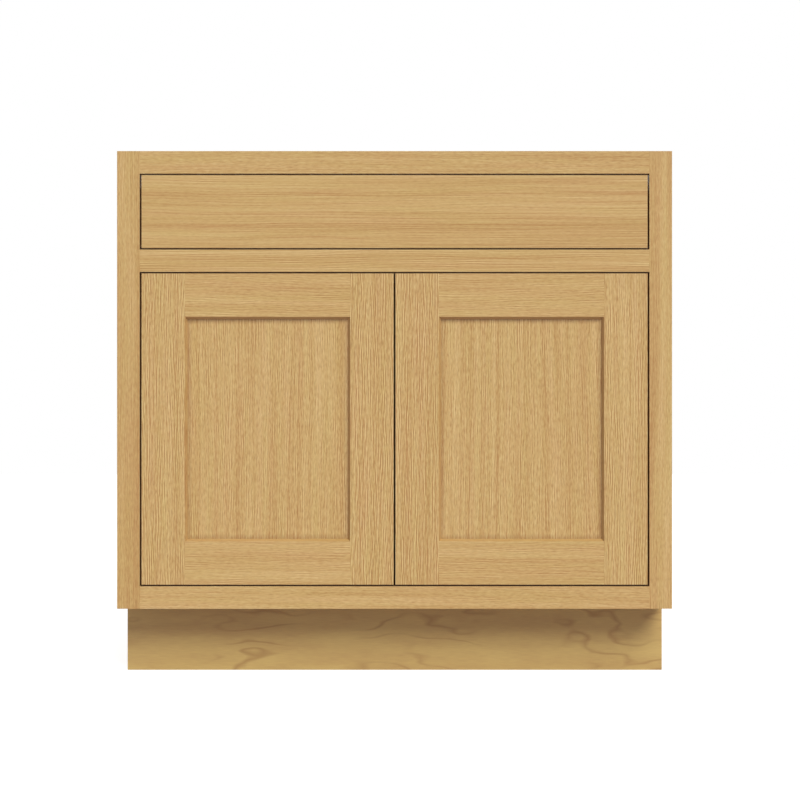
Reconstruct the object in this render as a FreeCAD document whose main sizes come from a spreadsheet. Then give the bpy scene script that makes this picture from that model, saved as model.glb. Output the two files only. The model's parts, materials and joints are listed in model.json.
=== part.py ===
import FreeCAD, Part
import os
import re

import Sketcher

V = FreeCAD.Vector
ALONG_X = V(1, 0, 0)
ALONG_Y = V(0, 1, 0)
ALONG_Z = V(0, 0, 1)

# Driving sizes in millimetres. X runs along the width, the front faces -Y and the floor is Z = 0.
SIZES = {
    # Box
    "cabinet_width": 914.4,
    "cabinet_depth": 609.6,
    "cabinet_height": 876.3,
    "side_thickness": 12.7,
    "floor_thickness": 12.7,
    "back_thickness": 6.35,
    "dado_depth": 6.35,
    "toe_height": 114.3,
    "toe_recess": 76.2,
    "toe_skin_thickness": 6.35,
    "toe_base_thickness": 12.7,
    "nailer_thickness": 19.05,
    "nailer_height": 76.2,
    "brace_leg": 95.0,
    "brace_thickness": 12.7,
    "brace_hole_inset": 34.0,
    "brace_hole_radius": 2.6,
    # Face frame
    "frame_overhang": 4.75,
    "frame_thickness": 19.05,
    "stile_width": 38.1,
    "top_rail_width": 38.1,
    "middle_rail_width": 38.1,
    "bottom_rail_width": 38.1,
    "drawer_opening": 125.4,
    "tenon_length": 12.7,
    "tenon_thickness": 6.35,
    "tenon_shoulder": 6.35,
    # Gaps round the inset doors and drawer front
    "gap_side": 2.4,
    "gap_level": 1.6,
    "gap_middle": 2.4,
    # Doors
    "door_thickness": 19.05,
    "door_stile_width": 76.2,
    "door_rail_width": 76.2,
    "door_bevel": 3.6,
    "door_bevel_lip": 0.8,
    "panel_recess": 7.1,
    "panel_thickness": 6.35,
    "panel_groove": 9.5,
    "panel_play": 1.0,
    "bumper_radius": 5.0,
    "bumper_thickness": 1.5,
    "bumper_inset": 9.5,
    "bumper_gap": 0.1,
    # Door stop behind the middle rail
    "stop_length": 300.0,
    "stop_thickness": 19.05,
    "stop_drop": 16.0,
    "stop_rise": 25.4,
    # Strips that bring the box's sides flush with the frame's opening
    "hinge_strip_depth": 95.0,
    "runner_strip_drop": 12.8,
    "runner_strip_rise": 22.0,
    # Adjustable shelf
    "shelf_thickness": 15.9,
    "shelf_side_play": 1.6,
    "shelf_front_play": 4.0,
    "shelf_back_play": 8.0,
    "pin_radius": 2.5,
    "pin_sunk": 9.0,
    "pin_reach": 9.5,
    "pin_hole_play": 0.5,
    "pin_pitch": 50.8,
    "pin_rows": 3,
    "pin_first_row": 380.0,
    "pin_shelf_row": 1,
    "pin_column_inset": 44.0,
    # Concealed hinges: places are from the stile's inner edge and the front plane
    "hinge_inset": 88.9,
    "cup_edge_distance": 22.0,
    "cup_radius": 17.4,
    "cup_bore_radius": 17.5,
    "cup_depth": 12.5,
    "cup_wall": 0.8,
    "cup_inner_radius": 16.3,
    "flange_radius": 19.0,
    "flange_thickness": 0.8,
    "flange_length": 57.0,
    "flange_width": 12.0,
    "cup_screw_spacing": 45.0,
    "cup_screw_offset": 9.5,
    "cup_pivot_across": 16.6,
    "cup_pivot_back": 10.3,
    "arm_pivot_across": 34.0,
    "arm_pivot_back": 23.9,
    "inner_elbow_across": 32.6,
    "inner_elbow_back": 8.9,
    "outer_arm_pivot_across": 48.5,
    "outer_arm_pivot_back": 27.7,
    "outer_end_across": 17.8,
    "outer_end_back": 15.8,
    "outer_elbow_across": 24.9,
    "outer_elbow_back": 16.8,
    "inner_link_thickness": 2.2,
    "inner_link_half_height": 5.5,
    "outer_link_thickness": 2.0,
    "outer_leg_inner": 6.5,
    "outer_leg_outer": 8.5,
    "outer_bridge_near": 4.0,
    "outer_bridge_far": 9.5,
    "outer_stub_radius": 1.0,
    "outer_stub_reach": 10.2,
    "cup_pin_radius": 1.3,
    "arm_pin_radius": 1.6,
    "cup_eye_radius": 2.4,
    "arm_eye_radius": 2.9,
    "pivot_play": 0.05,
    "nose_radius": 3.5,
    "cheek_inner": 9.0,
    "cheek_outer": 10.5,
    "arm_crank_across": 47.0,
    "arm_crank_back": 41.0,
    "arm_heel_across": 9.0,
    "arm_heel_back": 60.0,
    "arm_tail_back": 88.0,
    "arm_half_width": 4.6,
    "arm_web_thickness": 1.6,
    "arm_web_across": 3.4,
    "arm_web_back": 2.4,
    "plate_thickness": 3.0,
    "plate_front_back": 44.0,
    "plate_rear_back": 90.0,
    "plate_half_height": 22.0,
    "plate_rail_half_height": 8.4,
    "plate_rail_front": 65.0,
    "plate_screw_back": 66.0,
    "plate_screw_half_spacing": 16.0,
    # Screws
    "screw_head_radius": 3.8,
    "screw_head_thickness": 1.6,
    "screw_shank_radius": 1.75,
    "screw_length": 13.0,
    "screw_head_sides": 8,
    "screw_shank_sides": 5,
    "eye_sides": 8,
    "pin_sides": 12,
    "front_screw_length": 28.0,
    "front_screw_inset": 90.0,
    "front_screw_edge": 24.0,
    "runner_screw_count": 2,
    "runner_screw_end": 60.0,
    "runner_screw_height": 10.5,
    # Drawer box
    "box_play": 5.0,
    "box_lift": 14.2,
    "box_height": 95.0,
    "box_length": 533.4,
    "box_board": 15.9,
    "box_bottom_thickness": 6.35,
    "box_bottom_recess": 12.7,
    "box_groove": 6.35,
    "tail_length": 10.5,
    "tail_count": 3,
    "tail_root_width": 14.0,
    "tail_tip_width": 19.5,
    "notch_play": 1.5,
    # Undermount runners
    "runner_inset": 34.35,
    "runner_half_width": 12.0,
    "runner_gauge": 1.5,
    "runner_lip": 4.0,
    "runner_lift": 1.0,
    "runner_floor_drop": 3.8,
    "middle_half_width": 9.9,
    "middle_web_half_width": 5.0,
    "middle_height": 19.7,
    "middle_gauge": 1.5,
    "runner_leg": 9.5,
    "cabinet_leg": 9.5,
    "cabinet_wing_height": 16.0,
    "runner_length": 495.0,
    "runner_end_play": 0.6,
    "cabinet_runner_length": 523.0,
    "roller_radius": 2.1,
    "roller_half_length": 6.0,
    "roller_pitch": 40.0,
    "roller_count": 4,
    "carriage_half_width": 8.4,
    "carriage_thickness": 1.2,
    "carriage_margin": 15.0,
    "carriage_pocket_play": 0.35,
    "lower_carriage_setback": 145.0,
    "upper_carriage_setback": 170.0,
    "clip_width": 26.0,
    "clip_length": 38.0,
    "clip_height": 9.0,
    "clip_lever_length": 12.0,
    "cut_overrun": 1.0,
}

# Places and spans worked out from the driving sizes
RULES = {
    "half_box": "cabinet_width / 2",
    "half_frame": "cabinet_width / 2 + frame_overhang",
    "opening_half": "half_frame - stile_width",
    "side_inner": "half_box - side_thickness",
    "front": "0 - cabinet_depth / 2",
    "frame_back": "front + frame_thickness",
    "rear": "cabinet_depth / 2",
    "back_front": "rear - back_thickness",
    "nailer_front": "back_front - nailer_thickness",
    "toe_front": "front + toe_recess",
    "toe_skin_back": "toe_front + toe_skin_thickness",
    "floor_top": "toe_height + bottom_rail_width",
    "floor_low": "floor_top - floor_thickness",
    "drawer_high": "cabinet_height - top_rail_width",
    "drawer_low": "drawer_high - drawer_opening",
    "middle_low": "drawer_low - middle_rail_width",
    "door_low": "floor_top + gap_level",
    "door_high": "middle_low - gap_level",
    "door_hinge_edge": "opening_half - gap_side",
    "door_free_edge": "gap_middle / 2",
    "door_back": "front + door_thickness",
    "panel_front": "front + panel_recess",
    "panel_tongue": "panel_groove - panel_play",
    "box_half": "opening_half - box_play",
    "box_inner_half": "box_half - box_board",
    "box_low": "drawer_low + box_lift",
    "box_front_back": "frame_back + box_board",
    "box_rear": "frame_back + box_length",
    "box_rear_front": "box_rear - box_board",
    "box_bottom_low": "box_low + box_bottom_recess",
    "runner_centre": "opening_half - runner_inset",
    "middle_bottom": "drawer_low + runner_lift",
    "middle_top": "middle_bottom + middle_height",
    "runner_floor": "drawer_low - runner_floor_drop",
    "cup_centre": "gap_side + cup_edge_distance",
    "upper_hinge": "door_high - hinge_inset",
    "lower_hinge": "door_low + hinge_inset",
    "strip_back": "frame_back + hinge_strip_depth",
    "runner_strip_low": "drawer_low - runner_strip_drop",
    "runner_strip_high": "drawer_low + runner_strip_rise",
    "shelf_front": "strip_back + shelf_front_play",
    "shelf_rear": "back_front - shelf_back_play",
    "pin_height": "pin_first_row + pin_shelf_row * pin_pitch",
    "shelf_low": "pin_height + pin_radius",
    "wing_low": "runner_floor - runner_gauge",
    "ceiling": "box_bottom_low - runner_gauge",
}

doc = FreeCAD.newDocument("BaseCabinet")
sheet = doc.addObject("Spreadsheet::Sheet", "Sizes")
for row, (alias, number) in enumerate(SIZES.items(), start=1):
    sheet.set(f"A{row}", alias)
    sheet.set(f"B{row}", str(number))
    sheet.setAlias(f"B{row}", alias)
doc.recompute()


def bound(rule):
    """Write a rule out in cells of the sheet, for setExpression."""

    def cell(match):
        word = match.group(0)
        if word in RULES:
            return "(" + bound(RULES[word]) + ")"
        if word in SIZES:
            return "Sizes." + word
        return word

    return re.sub(r"[a-z][a-z_]*", cell, str(rule))


def size(rule):
    """The present value of a rule, read from the sheet."""
    return float(sheet.evalExpression(bound(rule)))


def minus(rule):
    return f"0 - ({rule})"


def mirrored(side, inner, outer):
    """A span across X on one side: -1 is left and 1 is right."""
    if side > 0:
        return (inner, outer)
    return (minus(outer), minus(inner))


def both(half):
    return (minus(half), half)


def board(name, across, deep, tall):
    """A plain board between two rules on each axis."""
    box = doc.addObject("Part::Box", name)
    for prop, corner, (low, high) in zip(("Length", "Width", "Height"), "xyz", (across, deep, tall)):
        box.setExpression(prop, bound(f"({high}) - ({low})"))
        box.setExpression(f"Placement.Base.{corner}", bound(low))
    return box


def rod(name, radius, start, length, axis):
    """A cylinder from a start point, all in rules, along one axis."""
    cylinder = doc.addObject("Part::Cylinder", name)
    cylinder.setExpression("Radius", bound(radius))
    cylinder.setExpression("Height", bound(length))
    cylinder.Placement.Rotation = FreeCAD.Rotation(ALONG_Z, axis)
    for corner, place in zip("xyz", start):
        cylinder.setExpression(f"Placement.Base.{corner}", bound(place))
    return cylinder


def together(name, pieces):
    """Several separate solids as one object."""
    group = doc.addObject("Part::Compound", name)
    group.Links = pieces
    return group


def carve(name, base, cutters):
    cut = doc.addObject("Part::Cut", name)
    cut.Base = base
    cut.Tool = cutters[0] if len(cutters) == 1 else together(name + "_cutters", cutters)
    return cut


def join(name, pieces):
    fuse = doc.addObject("Part::MultiFuse", name)
    fuse.Shapes = pieces
    fuse.Refine = True
    return fuse


def shaped(name, shape):
    """A piece whose shape is worked out from the sheet's values."""
    piece = doc.addObject("Part::Feature", name)
    piece.Shape = shape
    return piece


def plane(body, role):
    return next(item for item in body.Origin.OriginFeatures if item.Role == role)


def outline(body, name, role, points):
    """A closed sketch whose corners are bound to rules."""
    sketch = body.newObject("Sketcher::SketchObject", name)
    sketch.AttachmentSupport = (plane(body, role), [""])
    sketch.MapMode = "FlatFace"
    places = [V(size(across), size(up), 0) for across, up in points]
    count = len(places)
    for i in range(count):
        sketch.addGeometry(Part.LineSegment(places[i], places[(i + 1) % count]), False)
    for i in range(count):
        sketch.addConstraint(Sketcher.Constraint("Coincident", i, 2, (i + 1) % count, 1))
    for i, (across, up) in enumerate(points):
        for kind, rule, now in (("DistanceX", across, places[i].x), ("DistanceY", up, places[i].y)):
            index = sketch.addConstraint(Sketcher.Constraint(kind, -1, 1, i, 1, now))
            sketch.setExpression(f"Constraints[{index}]", bound(rule))
    return sketch


def padded(name, role, points, length, reverse=False):
    """A body with one padded outline."""
    body = doc.addObject("PartDesign::Body", name)
    sketch = outline(body, name + "_outline", role, points)
    pad = body.newObject("PartDesign::Pad", name + "_pad")
    pad.Profile = sketch
    pad.Reversed = reverse
    pad.setExpression("Length", bound(length))
    return body


def pocketed(body, name, sketch, depth, reverse):
    pocket = body.newObject("PartDesign::Pocket", name)
    pocket.Profile = sketch
    pocket.Reversed = reverse
    pocket.setExpression("Length", bound(depth))
    return pocket


def moved(piece, across="0", deep="0", tall="0"):
    for corner, place in zip("xyz", (across, deep, tall)):
        piece.setExpression(f"Placement.Base.{corner}", bound(place))
    return piece


nodes = {}


def keep(node, piece):
    """Name a finished sub-part."""
    piece.Label = node
    nodes[node] = piece
    return piece


SIDES = (("left", -1), ("right", 1))


# Box sides: toe notch, dado for the floor, rabbet for the back and two columns of shelf-pin holes
PIN_COLUMNS = ("shelf_front + pin_column_inset", "shelf_rear - pin_column_inset")


def side_panel(name, side):
    body = padded(
        name + "_body",
        "YZ_Plane",
        [
            ("toe_skin_back", "0"),
            ("rear", "0"),
            ("rear", "cabinet_height"),
            ("frame_back", "cabinet_height"),
            ("frame_back", "toe_height"),
            ("toe_skin_back", "toe_height"),
        ],
        "side_thickness",
        reverse=side < 0,
    )
    joint = outline(
        body,
        name + "_joint",
        "YZ_Plane",
        [
            ("frame_back", "floor_low"),
            ("rear", "floor_low"),
            ("rear", "cabinet_height"),
            ("back_front", "cabinet_height"),
            ("back_front", "floor_top"),
            ("frame_back", "floor_top"),
        ],
    )
    pocketed(body, name + "_dado", joint, "dado_depth", side > 0)
    holes = body.newObject("Sketcher::SketchObject", name + "_holes")
    holes.AttachmentSupport = (plane(body, "YZ_Plane"), [""])
    holes.MapMode = "FlatFace"
    for i, column in enumerate(PIN_COLUMNS):
        centre = V(size(column), size("pin_first_row"), 0)
        holes.addGeometry(Part.Circle(centre, ALONG_Z, size("pin_radius")), False)
        across = holes.addConstraint(Sketcher.Constraint("DistanceX", -1, 1, i, 3, centre.x))
        up = holes.addConstraint(Sketcher.Constraint("DistanceY", -1, 1, i, 3, centre.y))
        round_ = holes.addConstraint(Sketcher.Constraint("Radius", i, size("pin_radius")))
        holes.setExpression(f"Constraints[{across}]", bound(column))
        holes.setExpression(f"Constraints[{up}]", bound("pin_first_row"))
        holes.setExpression(f"Constraints[{round_}]", bound("pin_radius"))
    first = pocketed(body, name + "_first_holes", holes, "pin_sunk + pin_hole_play", side > 0)
    doc.recompute()
    rows = body.newObject("PartDesign::LinearPattern", name + "_hole_rows")
    rows.Originals = [first]
    rows.Direction = (holes, ["V_Axis"])
    rows.setExpression("Length", bound("pin_pitch * (pin_rows - 1)"))
    rows.setExpression("Occurrences", bound("pin_rows"))
    body.Tip = rows
    moved(body, "side_inner" if side > 0 else minus("side_inner"))
    return body


for word, side in SIDES:
    keep(f"side_panel_{word}", side_panel(f"side_{word}", side))

# Floor and back, held in the sides' dadoes and rabbets
joint_span = both("side_inner + dado_depth")
keep("bottom_panel", board("floor", joint_span, ("frame_back", "back_front"), ("floor_low", "floor_top")))
keep("back_panel", board("back", joint_span, ("back_front", "rear"), ("floor_low", "cabinet_height")))

# Nailing strips across the back
nailers = []
for place, low in (("top", "cabinet_height - nailer_height"), ("low", "floor_top")):
    tall = (low, f"{low} + nailer_height")
    nailers.append(board(f"nailer_{place}", both("side_inner"), ("nailer_front", "back_front"), tall))
keep("back_nailers", together("nailers", nailers))


# Corner braces at the top, each with a hole for the countertop screw
def corner_brace(name, side, end, corner_back):
    corner_across = f"{side} * side_inner"
    plate = padded(
        name + "_plate",
        "XY_Plane",
        [
            (corner_across, corner_back),
            (f"{side} * (side_inner - brace_leg)", corner_back),
            (corner_across, f"({corner_back}) + {end} * brace_leg"),
        ],
        "brace_thickness",
    )
    moved(plate, tall="cabinet_height - brace_thickness")
    hole = rod(
        name + "_hole",
        "brace_hole_radius",
        (
            f"{side} * (side_inner - brace_hole_inset)",
            f"({corner_back}) + {end} * brace_hole_inset",
            "cabinet_height - brace_thickness - cut_overrun",
        ),
        "brace_thickness + 2 * cut_overrun",
        ALONG_Z,
    )
    return carve(name, plate, [hole])


braces = []
for word, side in SIDES:
    braces.append(corner_brace(f"brace_front_{word}", side, 1, "frame_back"))
    braces.append(corner_brace(f"brace_rear_{word}", side, -1, "nailer_front"))
keep("corner_braces", together("braces", braces))

# Toe space: a base board between the sides and a skin that covers their edges
base_span = ("toe_skin_back", "toe_skin_back + toe_base_thickness")
keep("toe_kick_base", board("toe_base", both("side_inner"), base_span, ("0", "floor_low")))
skin_span = ("toe_front", "toe_skin_back")
keep("toe_kick_skin", board("toe_skin", both("half_box"), skin_span, ("0", "toe_height")))

# Face frame: rails with stub tenons in mortised stiles
RAILS = (
    ("top", "drawer_high", "cabinet_height"),
    ("middle", "middle_low", "drawer_low"),
    ("bottom", "toe_height", "floor_top"),
)
tenon_span = (
    "front + (frame_thickness - tenon_thickness) / 2",
    "front + (frame_thickness + tenon_thickness) / 2",
)
frame_span = ("front", "frame_back")
tenons = []
for word, low, high in RAILS:
    rail = board(f"rail_{word}_board", both("opening_half"), frame_span, (low, high))
    tenon = board(
        f"rail_{word}_tenon",
        both("opening_half + tenon_length"),
        tenon_span,
        (f"({low}) + tenon_shoulder", f"({high}) - tenon_shoulder"),
    )
    tenons.append(tenon)
    keep(f"frame_rail_{word}", join(f"rail_{word}", [rail, tenon]))
for word, side in SIDES:
    stile = board(
        f"stile_{word}_board",
        mirrored(side, "opening_half", "half_frame"),
        frame_span,
        ("toe_height", "cabinet_height"),
    )
    keep(f"frame_stile_{word}", carve(f"stile_{word}", stile, tenons))


def disc(radius, start, direction, length):
    return Part.makeCylinder(size(radius), size(length), start, direction)


def prism(radius, sides, start, direction, length):
    """A small round bar drawn with few flat sides, from a start point along one of the axes."""
    across = V(abs(direction.z), 0, 1 - abs(direction.z)) * size(radius)
    turn = FreeCAD.Rotation(direction, 360 / SIZES[sides])
    corners = [start + across]
    for _ in range(SIZES[sides] - 1):
        across = turn.multVec(across)
        corners.append(start + across)
    return Part.Face(Part.makePolygon(corners + corners[:1])).extrude(direction * size(length))


# Screws: a flat head, a shank and the pilot hole that the shank fills
def pilot(start, direction, length):
    return prism("screw_shank_radius", "screw_shank_sides", start, direction, length)


def screw(start, direction, length):
    top = start - direction * size("screw_head_thickness")
    head = prism("screw_head_radius", "screw_head_sides", top, direction, "screw_head_thickness")
    return head.fuse(pilot(start, direction, length)).removeSplitter()


def on_hinge(side, across, back, height="0"):
    """A point by its distance from the stile's inner edge and from the front plane."""
    return V(side * (size("opening_half") - size(across)), size("front") + size(back), size(height))


HINGES = ("lower_hinge", "upper_hinge")
mounting_screws = []
mounting_pilots = {-1: [], 1: []}
for _, side in SIDES:
    outwards = ALONG_X * side
    for hinge in HINGES:
        for end in (-1, 1):
            height = f"{hinge} + {end} * plate_screw_half_spacing"
            start = on_hinge(side, "plate_thickness", "plate_screw_back", height)
            mounting_screws.append(screw(start, outwards, "screw_length"))
            mounting_pilots[side].append(pilot(start, outwards, "screw_length"))
    for i in range(SIZES["runner_screw_count"]):
        step = f"{i} * (cabinet_runner_length - 2 * runner_screw_end) / (runner_screw_count - 1)"
        back = f"frame_thickness + runner_end_play + runner_screw_end + {step}"
        start = on_hinge(side, "runner_gauge", back, "wing_low + runner_screw_height")
        mounting_screws.append(screw(start, outwards, "screw_length"))
        mounting_pilots[side].append(pilot(start, outwards, "screw_length"))
keep("mounting_screws", shaped("wood_screws", Part.makeCompound(mounting_screws)))
pilots = {}
for word, side in SIDES:
    pilots[side] = shaped(f"pilots_{word}", Part.makeCompound(mounting_pilots[side]))

# Strips behind the stiles that carry the hinges and the drawer runners
for word, side in SIDES:
    thickness = mirrored(side, "opening_half", "side_inner")
    for use, deep, tall in (
        ("hinge", ("frame_back", "strip_back"), ("floor_top", "middle_low")),
        ("runner", ("frame_back", "back_front"), ("runner_strip_low", "runner_strip_high")),
    ):
        strip = board(f"{use}_board_{word}", thickness, deep, tall)
        keep(f"{use}_strip_{word}", carve(f"{use}_strip_body_{word}", strip, [pilots[side]]))

# Door stop behind the middle rail, set back for the doors' bumpers
stop_board = board(
    "stop_board",
    both("stop_length / 2"),
    ("frame_back", "frame_back + stop_thickness"),
    ("middle_low - stop_drop", "middle_low + stop_rise"),
)
stop_rabbet = board(
    "stop_rabbet",
    both("stop_length / 2 + cut_overrun"),
    ("frame_back - cut_overrun", "frame_back + bumper_thickness + bumper_gap"),
    ("middle_low - stop_drop - cut_overrun", "middle_low"),
)
keep("door_stop", carve("stop", stop_board, [stop_rabbet]))

# Adjustable shelf on four pins
keep(
    "shelf",
    board(
        "shelf_board",
        both("side_inner - shelf_side_play"),
        ("shelf_front", "shelf_rear"),
        ("shelf_low", "shelf_low + shelf_thickness"),
    ),
)
shelf_pins = []
for _, side in SIDES:
    for back in PIN_COLUMNS:
        start = V(side * size("side_inner - pin_reach"), size(back), size("pin_height"))
        shelf_pins.append(prism("pin_radius", "pin_sides", start, ALONG_X * side, "pin_reach + pin_sunk"))
keep("shelf_pins", shaped("pins", Part.makeCompound(shelf_pins)))


# Doors: stiles and rails moulded on their inner edge and grooved for a flat panel
def member_profile(width, place):
    """Section of a stile or rail: place() turns (distance from the outer edge, depth) into a corner."""
    section = [
        ("0", "0"),
        (f"{width} - door_bevel", "0"),
        (width, "panel_recess - door_bevel_lip"),
        (width, "panel_recess"),
        (f"{width} - panel_groove", "panel_recess"),
        (f"{width} - panel_groove", "panel_recess + panel_thickness"),
        (width, "panel_recess + panel_thickness"),
        (width, "door_thickness"),
        ("0", "door_thickness"),
    ]
    return [place(inwards, back) for inwards, back in section]


def door_stile(name, edge, inwards):
    """A stile whose outer edge stands at a rule; inwards is the way across to the panel."""
    corners = member_profile(
        "door_stile_width", lambda in_, back: (f"({edge}) + {inwards} * ({in_})", f"front + ({back})")
    )
    body = padded(name, "XY_Plane", corners, "door_high - door_low")
    return moved(body, tall="door_low")


def door_rail(name, edge, upwards, low, high):
    """A rail blank that runs into both stiles' grooves."""
    corners = member_profile(
        "door_rail_width", lambda in_, back: (f"front + ({back})", f"({edge}) + {upwards} * ({in_})")
    )
    body = padded(name, "YZ_Plane", corners, f"({high}) - ({low})")
    return moved(body, across=low)


def cup_place(side, hinge, offset="0", along="0"):
    return V(
        side * (size("opening_half") - size("cup_centre") - size(offset)),
        size("door_back"),
        size(hinge) + size(along),
    )


for word, side in SIDES:
    bores = [
        Part.makeCylinder(
            size("cup_bore_radius"),
            size("cup_depth + cut_overrun"),
            cup_place(side, hinge) + ALONG_Y * size("cut_overrun"),
            ALONG_Y * -1,
        )
        for hinge in HINGES
    ]
    cup_screws = []
    cup_pilots = []
    for hinge in HINGES:
        for end in (-1, 1):
            start = cup_place(side, hinge, "cup_screw_offset", f"{end} * cup_screw_spacing / 2")
            start = start + ALONG_Y * size("flange_thickness")
            cup_screws.append(screw(start, ALONG_Y * -1, "screw_length"))
            cup_pilots.append(pilot(start, ALONG_Y * -1, "screw_length"))
    cutters = shaped(f"door_{word}_bores", Part.makeCompound(bores + cup_pilots))
    keep(f"hinge_cup_screws_{word}", shaped(f"cup_screws_{word}", Part.makeCompound(cup_screws)))

    hinge_blank = door_stile(f"door_{word}_hinge_blank", f"{side} * door_hinge_edge", -side)
    free_stile = door_stile(f"door_{word}_free_blank", f"{side} * door_free_edge", side)
    keep(f"door_{word}_hinge_stile", carve(f"door_{word}_hinge", hinge_blank, [cutters]))
    keep(f"door_{word}_free_stile", free_stile)

    low, high = mirrored(
        side,
        "door_free_edge + door_stile_width - panel_groove",
        "door_hinge_edge - door_stile_width + panel_groove",
    )
    for place, edge, upwards in (("top", "door_high", -1), ("bottom", "door_low", 1)):
        blank = door_rail(f"door_{word}_{place}_blank", edge, upwards, low, high)
        keep(f"door_{word}_{place}_rail", carve(f"door_{word}_{place}", blank, [hinge_blank, free_stile]))

    panel_ends = mirrored(
        side,
        "door_free_edge + door_stile_width - panel_tongue",
        "door_hinge_edge - door_stile_width + panel_tongue",
    )
    panel_tall = ("door_low + door_rail_width - panel_tongue", "door_high - door_rail_width + panel_tongue")
    keep(
        f"door_{word}_panel",
        board(f"panel_{word}", panel_ends, ("panel_front", "panel_front + panel_thickness"), panel_tall),
    )
    bumper_across = side * size("door_free_edge + bumper_inset")
    bumper_place = V(bumper_across, size("door_back"), size("door_high - bumper_inset"))
    bumper = prism("bumper_radius", "pin_sides", bumper_place, ALONG_Y, "bumper_thickness")
    keep(f"door_{word}_bumper", shaped(f"bumper_{word}", bumper))


# Concealed hinges: a cup in the door, a cranked arm on a plate, and two bent links between them
def square_to(start, end):
    along = end - start
    return V(-along.y, along.x, 0).normalize()


def flat_bar(side, points, half_width, low, high, hinge):
    """A flat bar seen from above: it follows its points, with mitred bends and square ends."""
    places = [on_hinge(side, across, back, f"{hinge} + ({low})") for across, back in points]
    runs = [square_to(start, end) for start, end in zip(places, places[1:])]
    offsets = [runs[0]]
    for before, after in zip(runs, runs[1:]):
        bisector = (before + after).normalize()
        offsets.append(bisector / bisector.dot(after))
    offsets.append(runs[-1])
    width = size(half_width)
    corners = [place + offset * width for place, offset in zip(places, offsets)]
    corners += [place - offset * width for place, offset in reversed(list(zip(places, offsets)))]
    return Part.Face(Part.makePolygon(corners + corners[:1])).extrude(ALONG_Z * (size(high) - size(low)))


def bore(side, point, radius, low, high, hinge):
    """A round hole that stands along Z at a hinge."""
    across, back = point
    return disc(radius, on_hinge(side, across, back, f"{hinge} + ({low})"), ALONG_Z, f"({high}) - ({low})")


def eye(side, point, radius, low, high, hinge, sides="eye_sides"):
    """The metal round a pivot, or a pin, drawn with few flat sides."""
    across, back = point
    start = on_hinge(side, across, back, f"{hinge} + ({low})")
    return prism(radius, sides, start, ALONG_Z, f"({high}) - ({low})")


CUP_PIVOT = ("cup_pivot_across", "cup_pivot_back")
ARM_PIVOT = ("arm_pivot_across", "arm_pivot_back")
INNER_ELBOW = ("inner_elbow_across", "inner_elbow_back")
OUTER_ARM_PIVOT = ("outer_arm_pivot_across", "outer_arm_pivot_back")
OUTER_ELBOW = ("outer_elbow_across", "outer_elbow_back")
OUTER_END = ("outer_end_across", "outer_end_back")


def inner_link(side, hinge):
    low, high = both("inner_link_half_height")
    bar = flat_bar(side, [CUP_PIVOT, INNER_ELBOW, ARM_PIVOT], "inner_link_thickness / 2", low, high, hinge)
    eyes = [
        eye(side, CUP_PIVOT, "cup_eye_radius", low, high, hinge),
        eye(side, ARM_PIVOT, "arm_eye_radius", low, high, hinge),
    ]
    holes = [
        bore(side, CUP_PIVOT, "cup_pin_radius + pivot_play", low, high, hinge),
        bore(side, ARM_PIVOT, "arm_pin_radius + pivot_play", low, high, hinge),
    ]
    return bar.fuse(eyes).cut(holes).removeSplitter()


def between(first, second, distance):
    """The point on a line of rules at a distance from its first point."""
    (a, b), (c, d) = first, second
    length = f"sqrt(({c} - {a})^2 + ({d} - {b})^2)"
    return (f"{a} + ({c} - {a}) * {distance} / {length}", f"{b} + ({d} - {b}) * {distance} / {length}")


def outer_link(side, hinge):
    pieces = []
    for end in (-1, 1):
        low, high = mirrored(end, "outer_leg_inner", "outer_leg_outer")
        bends = [OUTER_END, OUTER_ELBOW, OUTER_ARM_PIVOT]
        pieces.append(flat_bar(side, bends, "outer_link_thickness / 2", low, high, hinge))
        pieces.append(eye(side, OUTER_ARM_PIVOT, "arm_eye_radius", low, high, hinge))
        low, high = mirrored(end, "outer_leg_outer", "outer_stub_reach")
        pieces.append(eye(side, OUTER_END, "outer_stub_radius", low, high, hinge))
    bridge = [
        between(OUTER_ARM_PIVOT, OUTER_ELBOW, "outer_bridge_near"),
        between(OUTER_ARM_PIVOT, OUTER_ELBOW, "outer_bridge_far"),
    ]
    low, high = both("outer_leg_outer")
    pieces.append(flat_bar(side, bridge, "outer_link_thickness / 2", low, high, hinge))
    hole = bore(side, OUTER_ARM_PIVOT, "arm_pin_radius + pivot_play", low, high, hinge)
    return pieces[0].fuse(pieces[1:]).cut(hole).removeSplitter()


def hinge_arm(side, hinge):
    crank = ("arm_crank_across", "arm_crank_back")
    heel = ("arm_heel_across", "arm_heel_back")
    tail = ("arm_heel_across", "arm_tail_back")
    pieces = []
    for end in (-1, 1):
        low, high = mirrored(end, "cheek_inner", "cheek_outer")
        pieces.append(eye(side, ARM_PIVOT, "nose_radius", low, high, hinge))
        pieces.append(flat_bar(side, [ARM_PIVOT, OUTER_ARM_PIVOT], "nose_radius", low, high, hinge))
        bends = [OUTER_ARM_PIVOT, crank, heel, tail]
        pieces.append(flat_bar(side, bends, "arm_half_width", low, high, hinge))
    web = [(f"{across} + arm_web_across", f"{back} + arm_web_back") for across, back in (crank, heel)]
    web.append(("arm_heel_across + arm_web_across", "arm_tail_back"))
    low, high = both("cheek_inner")
    pieces.append(flat_bar(side, web, "arm_web_thickness / 2", low, high, hinge))
    low, high = both("cheek_outer")
    for pivot in (ARM_PIVOT, OUTER_ARM_PIVOT):
        pieces.append(eye(side, pivot, "arm_pin_radius", low, high, hinge, "pin_sides"))
    return pieces[0].fuse(pieces[1:]).removeSplitter()


def block(side, across, back, low, high):
    """A square block between two distances from the stile, two from the front plane, and two heights."""
    first = on_hinge(side, across[0], back[0], low)
    second = on_hinge(side, across[1], back[1], high)
    corner = V(min(first.x, second.x), first.y, first.z)
    return Part.makeBox(abs(second.x - first.x), second.y - first.y, second.z - first.z, corner)


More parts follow.
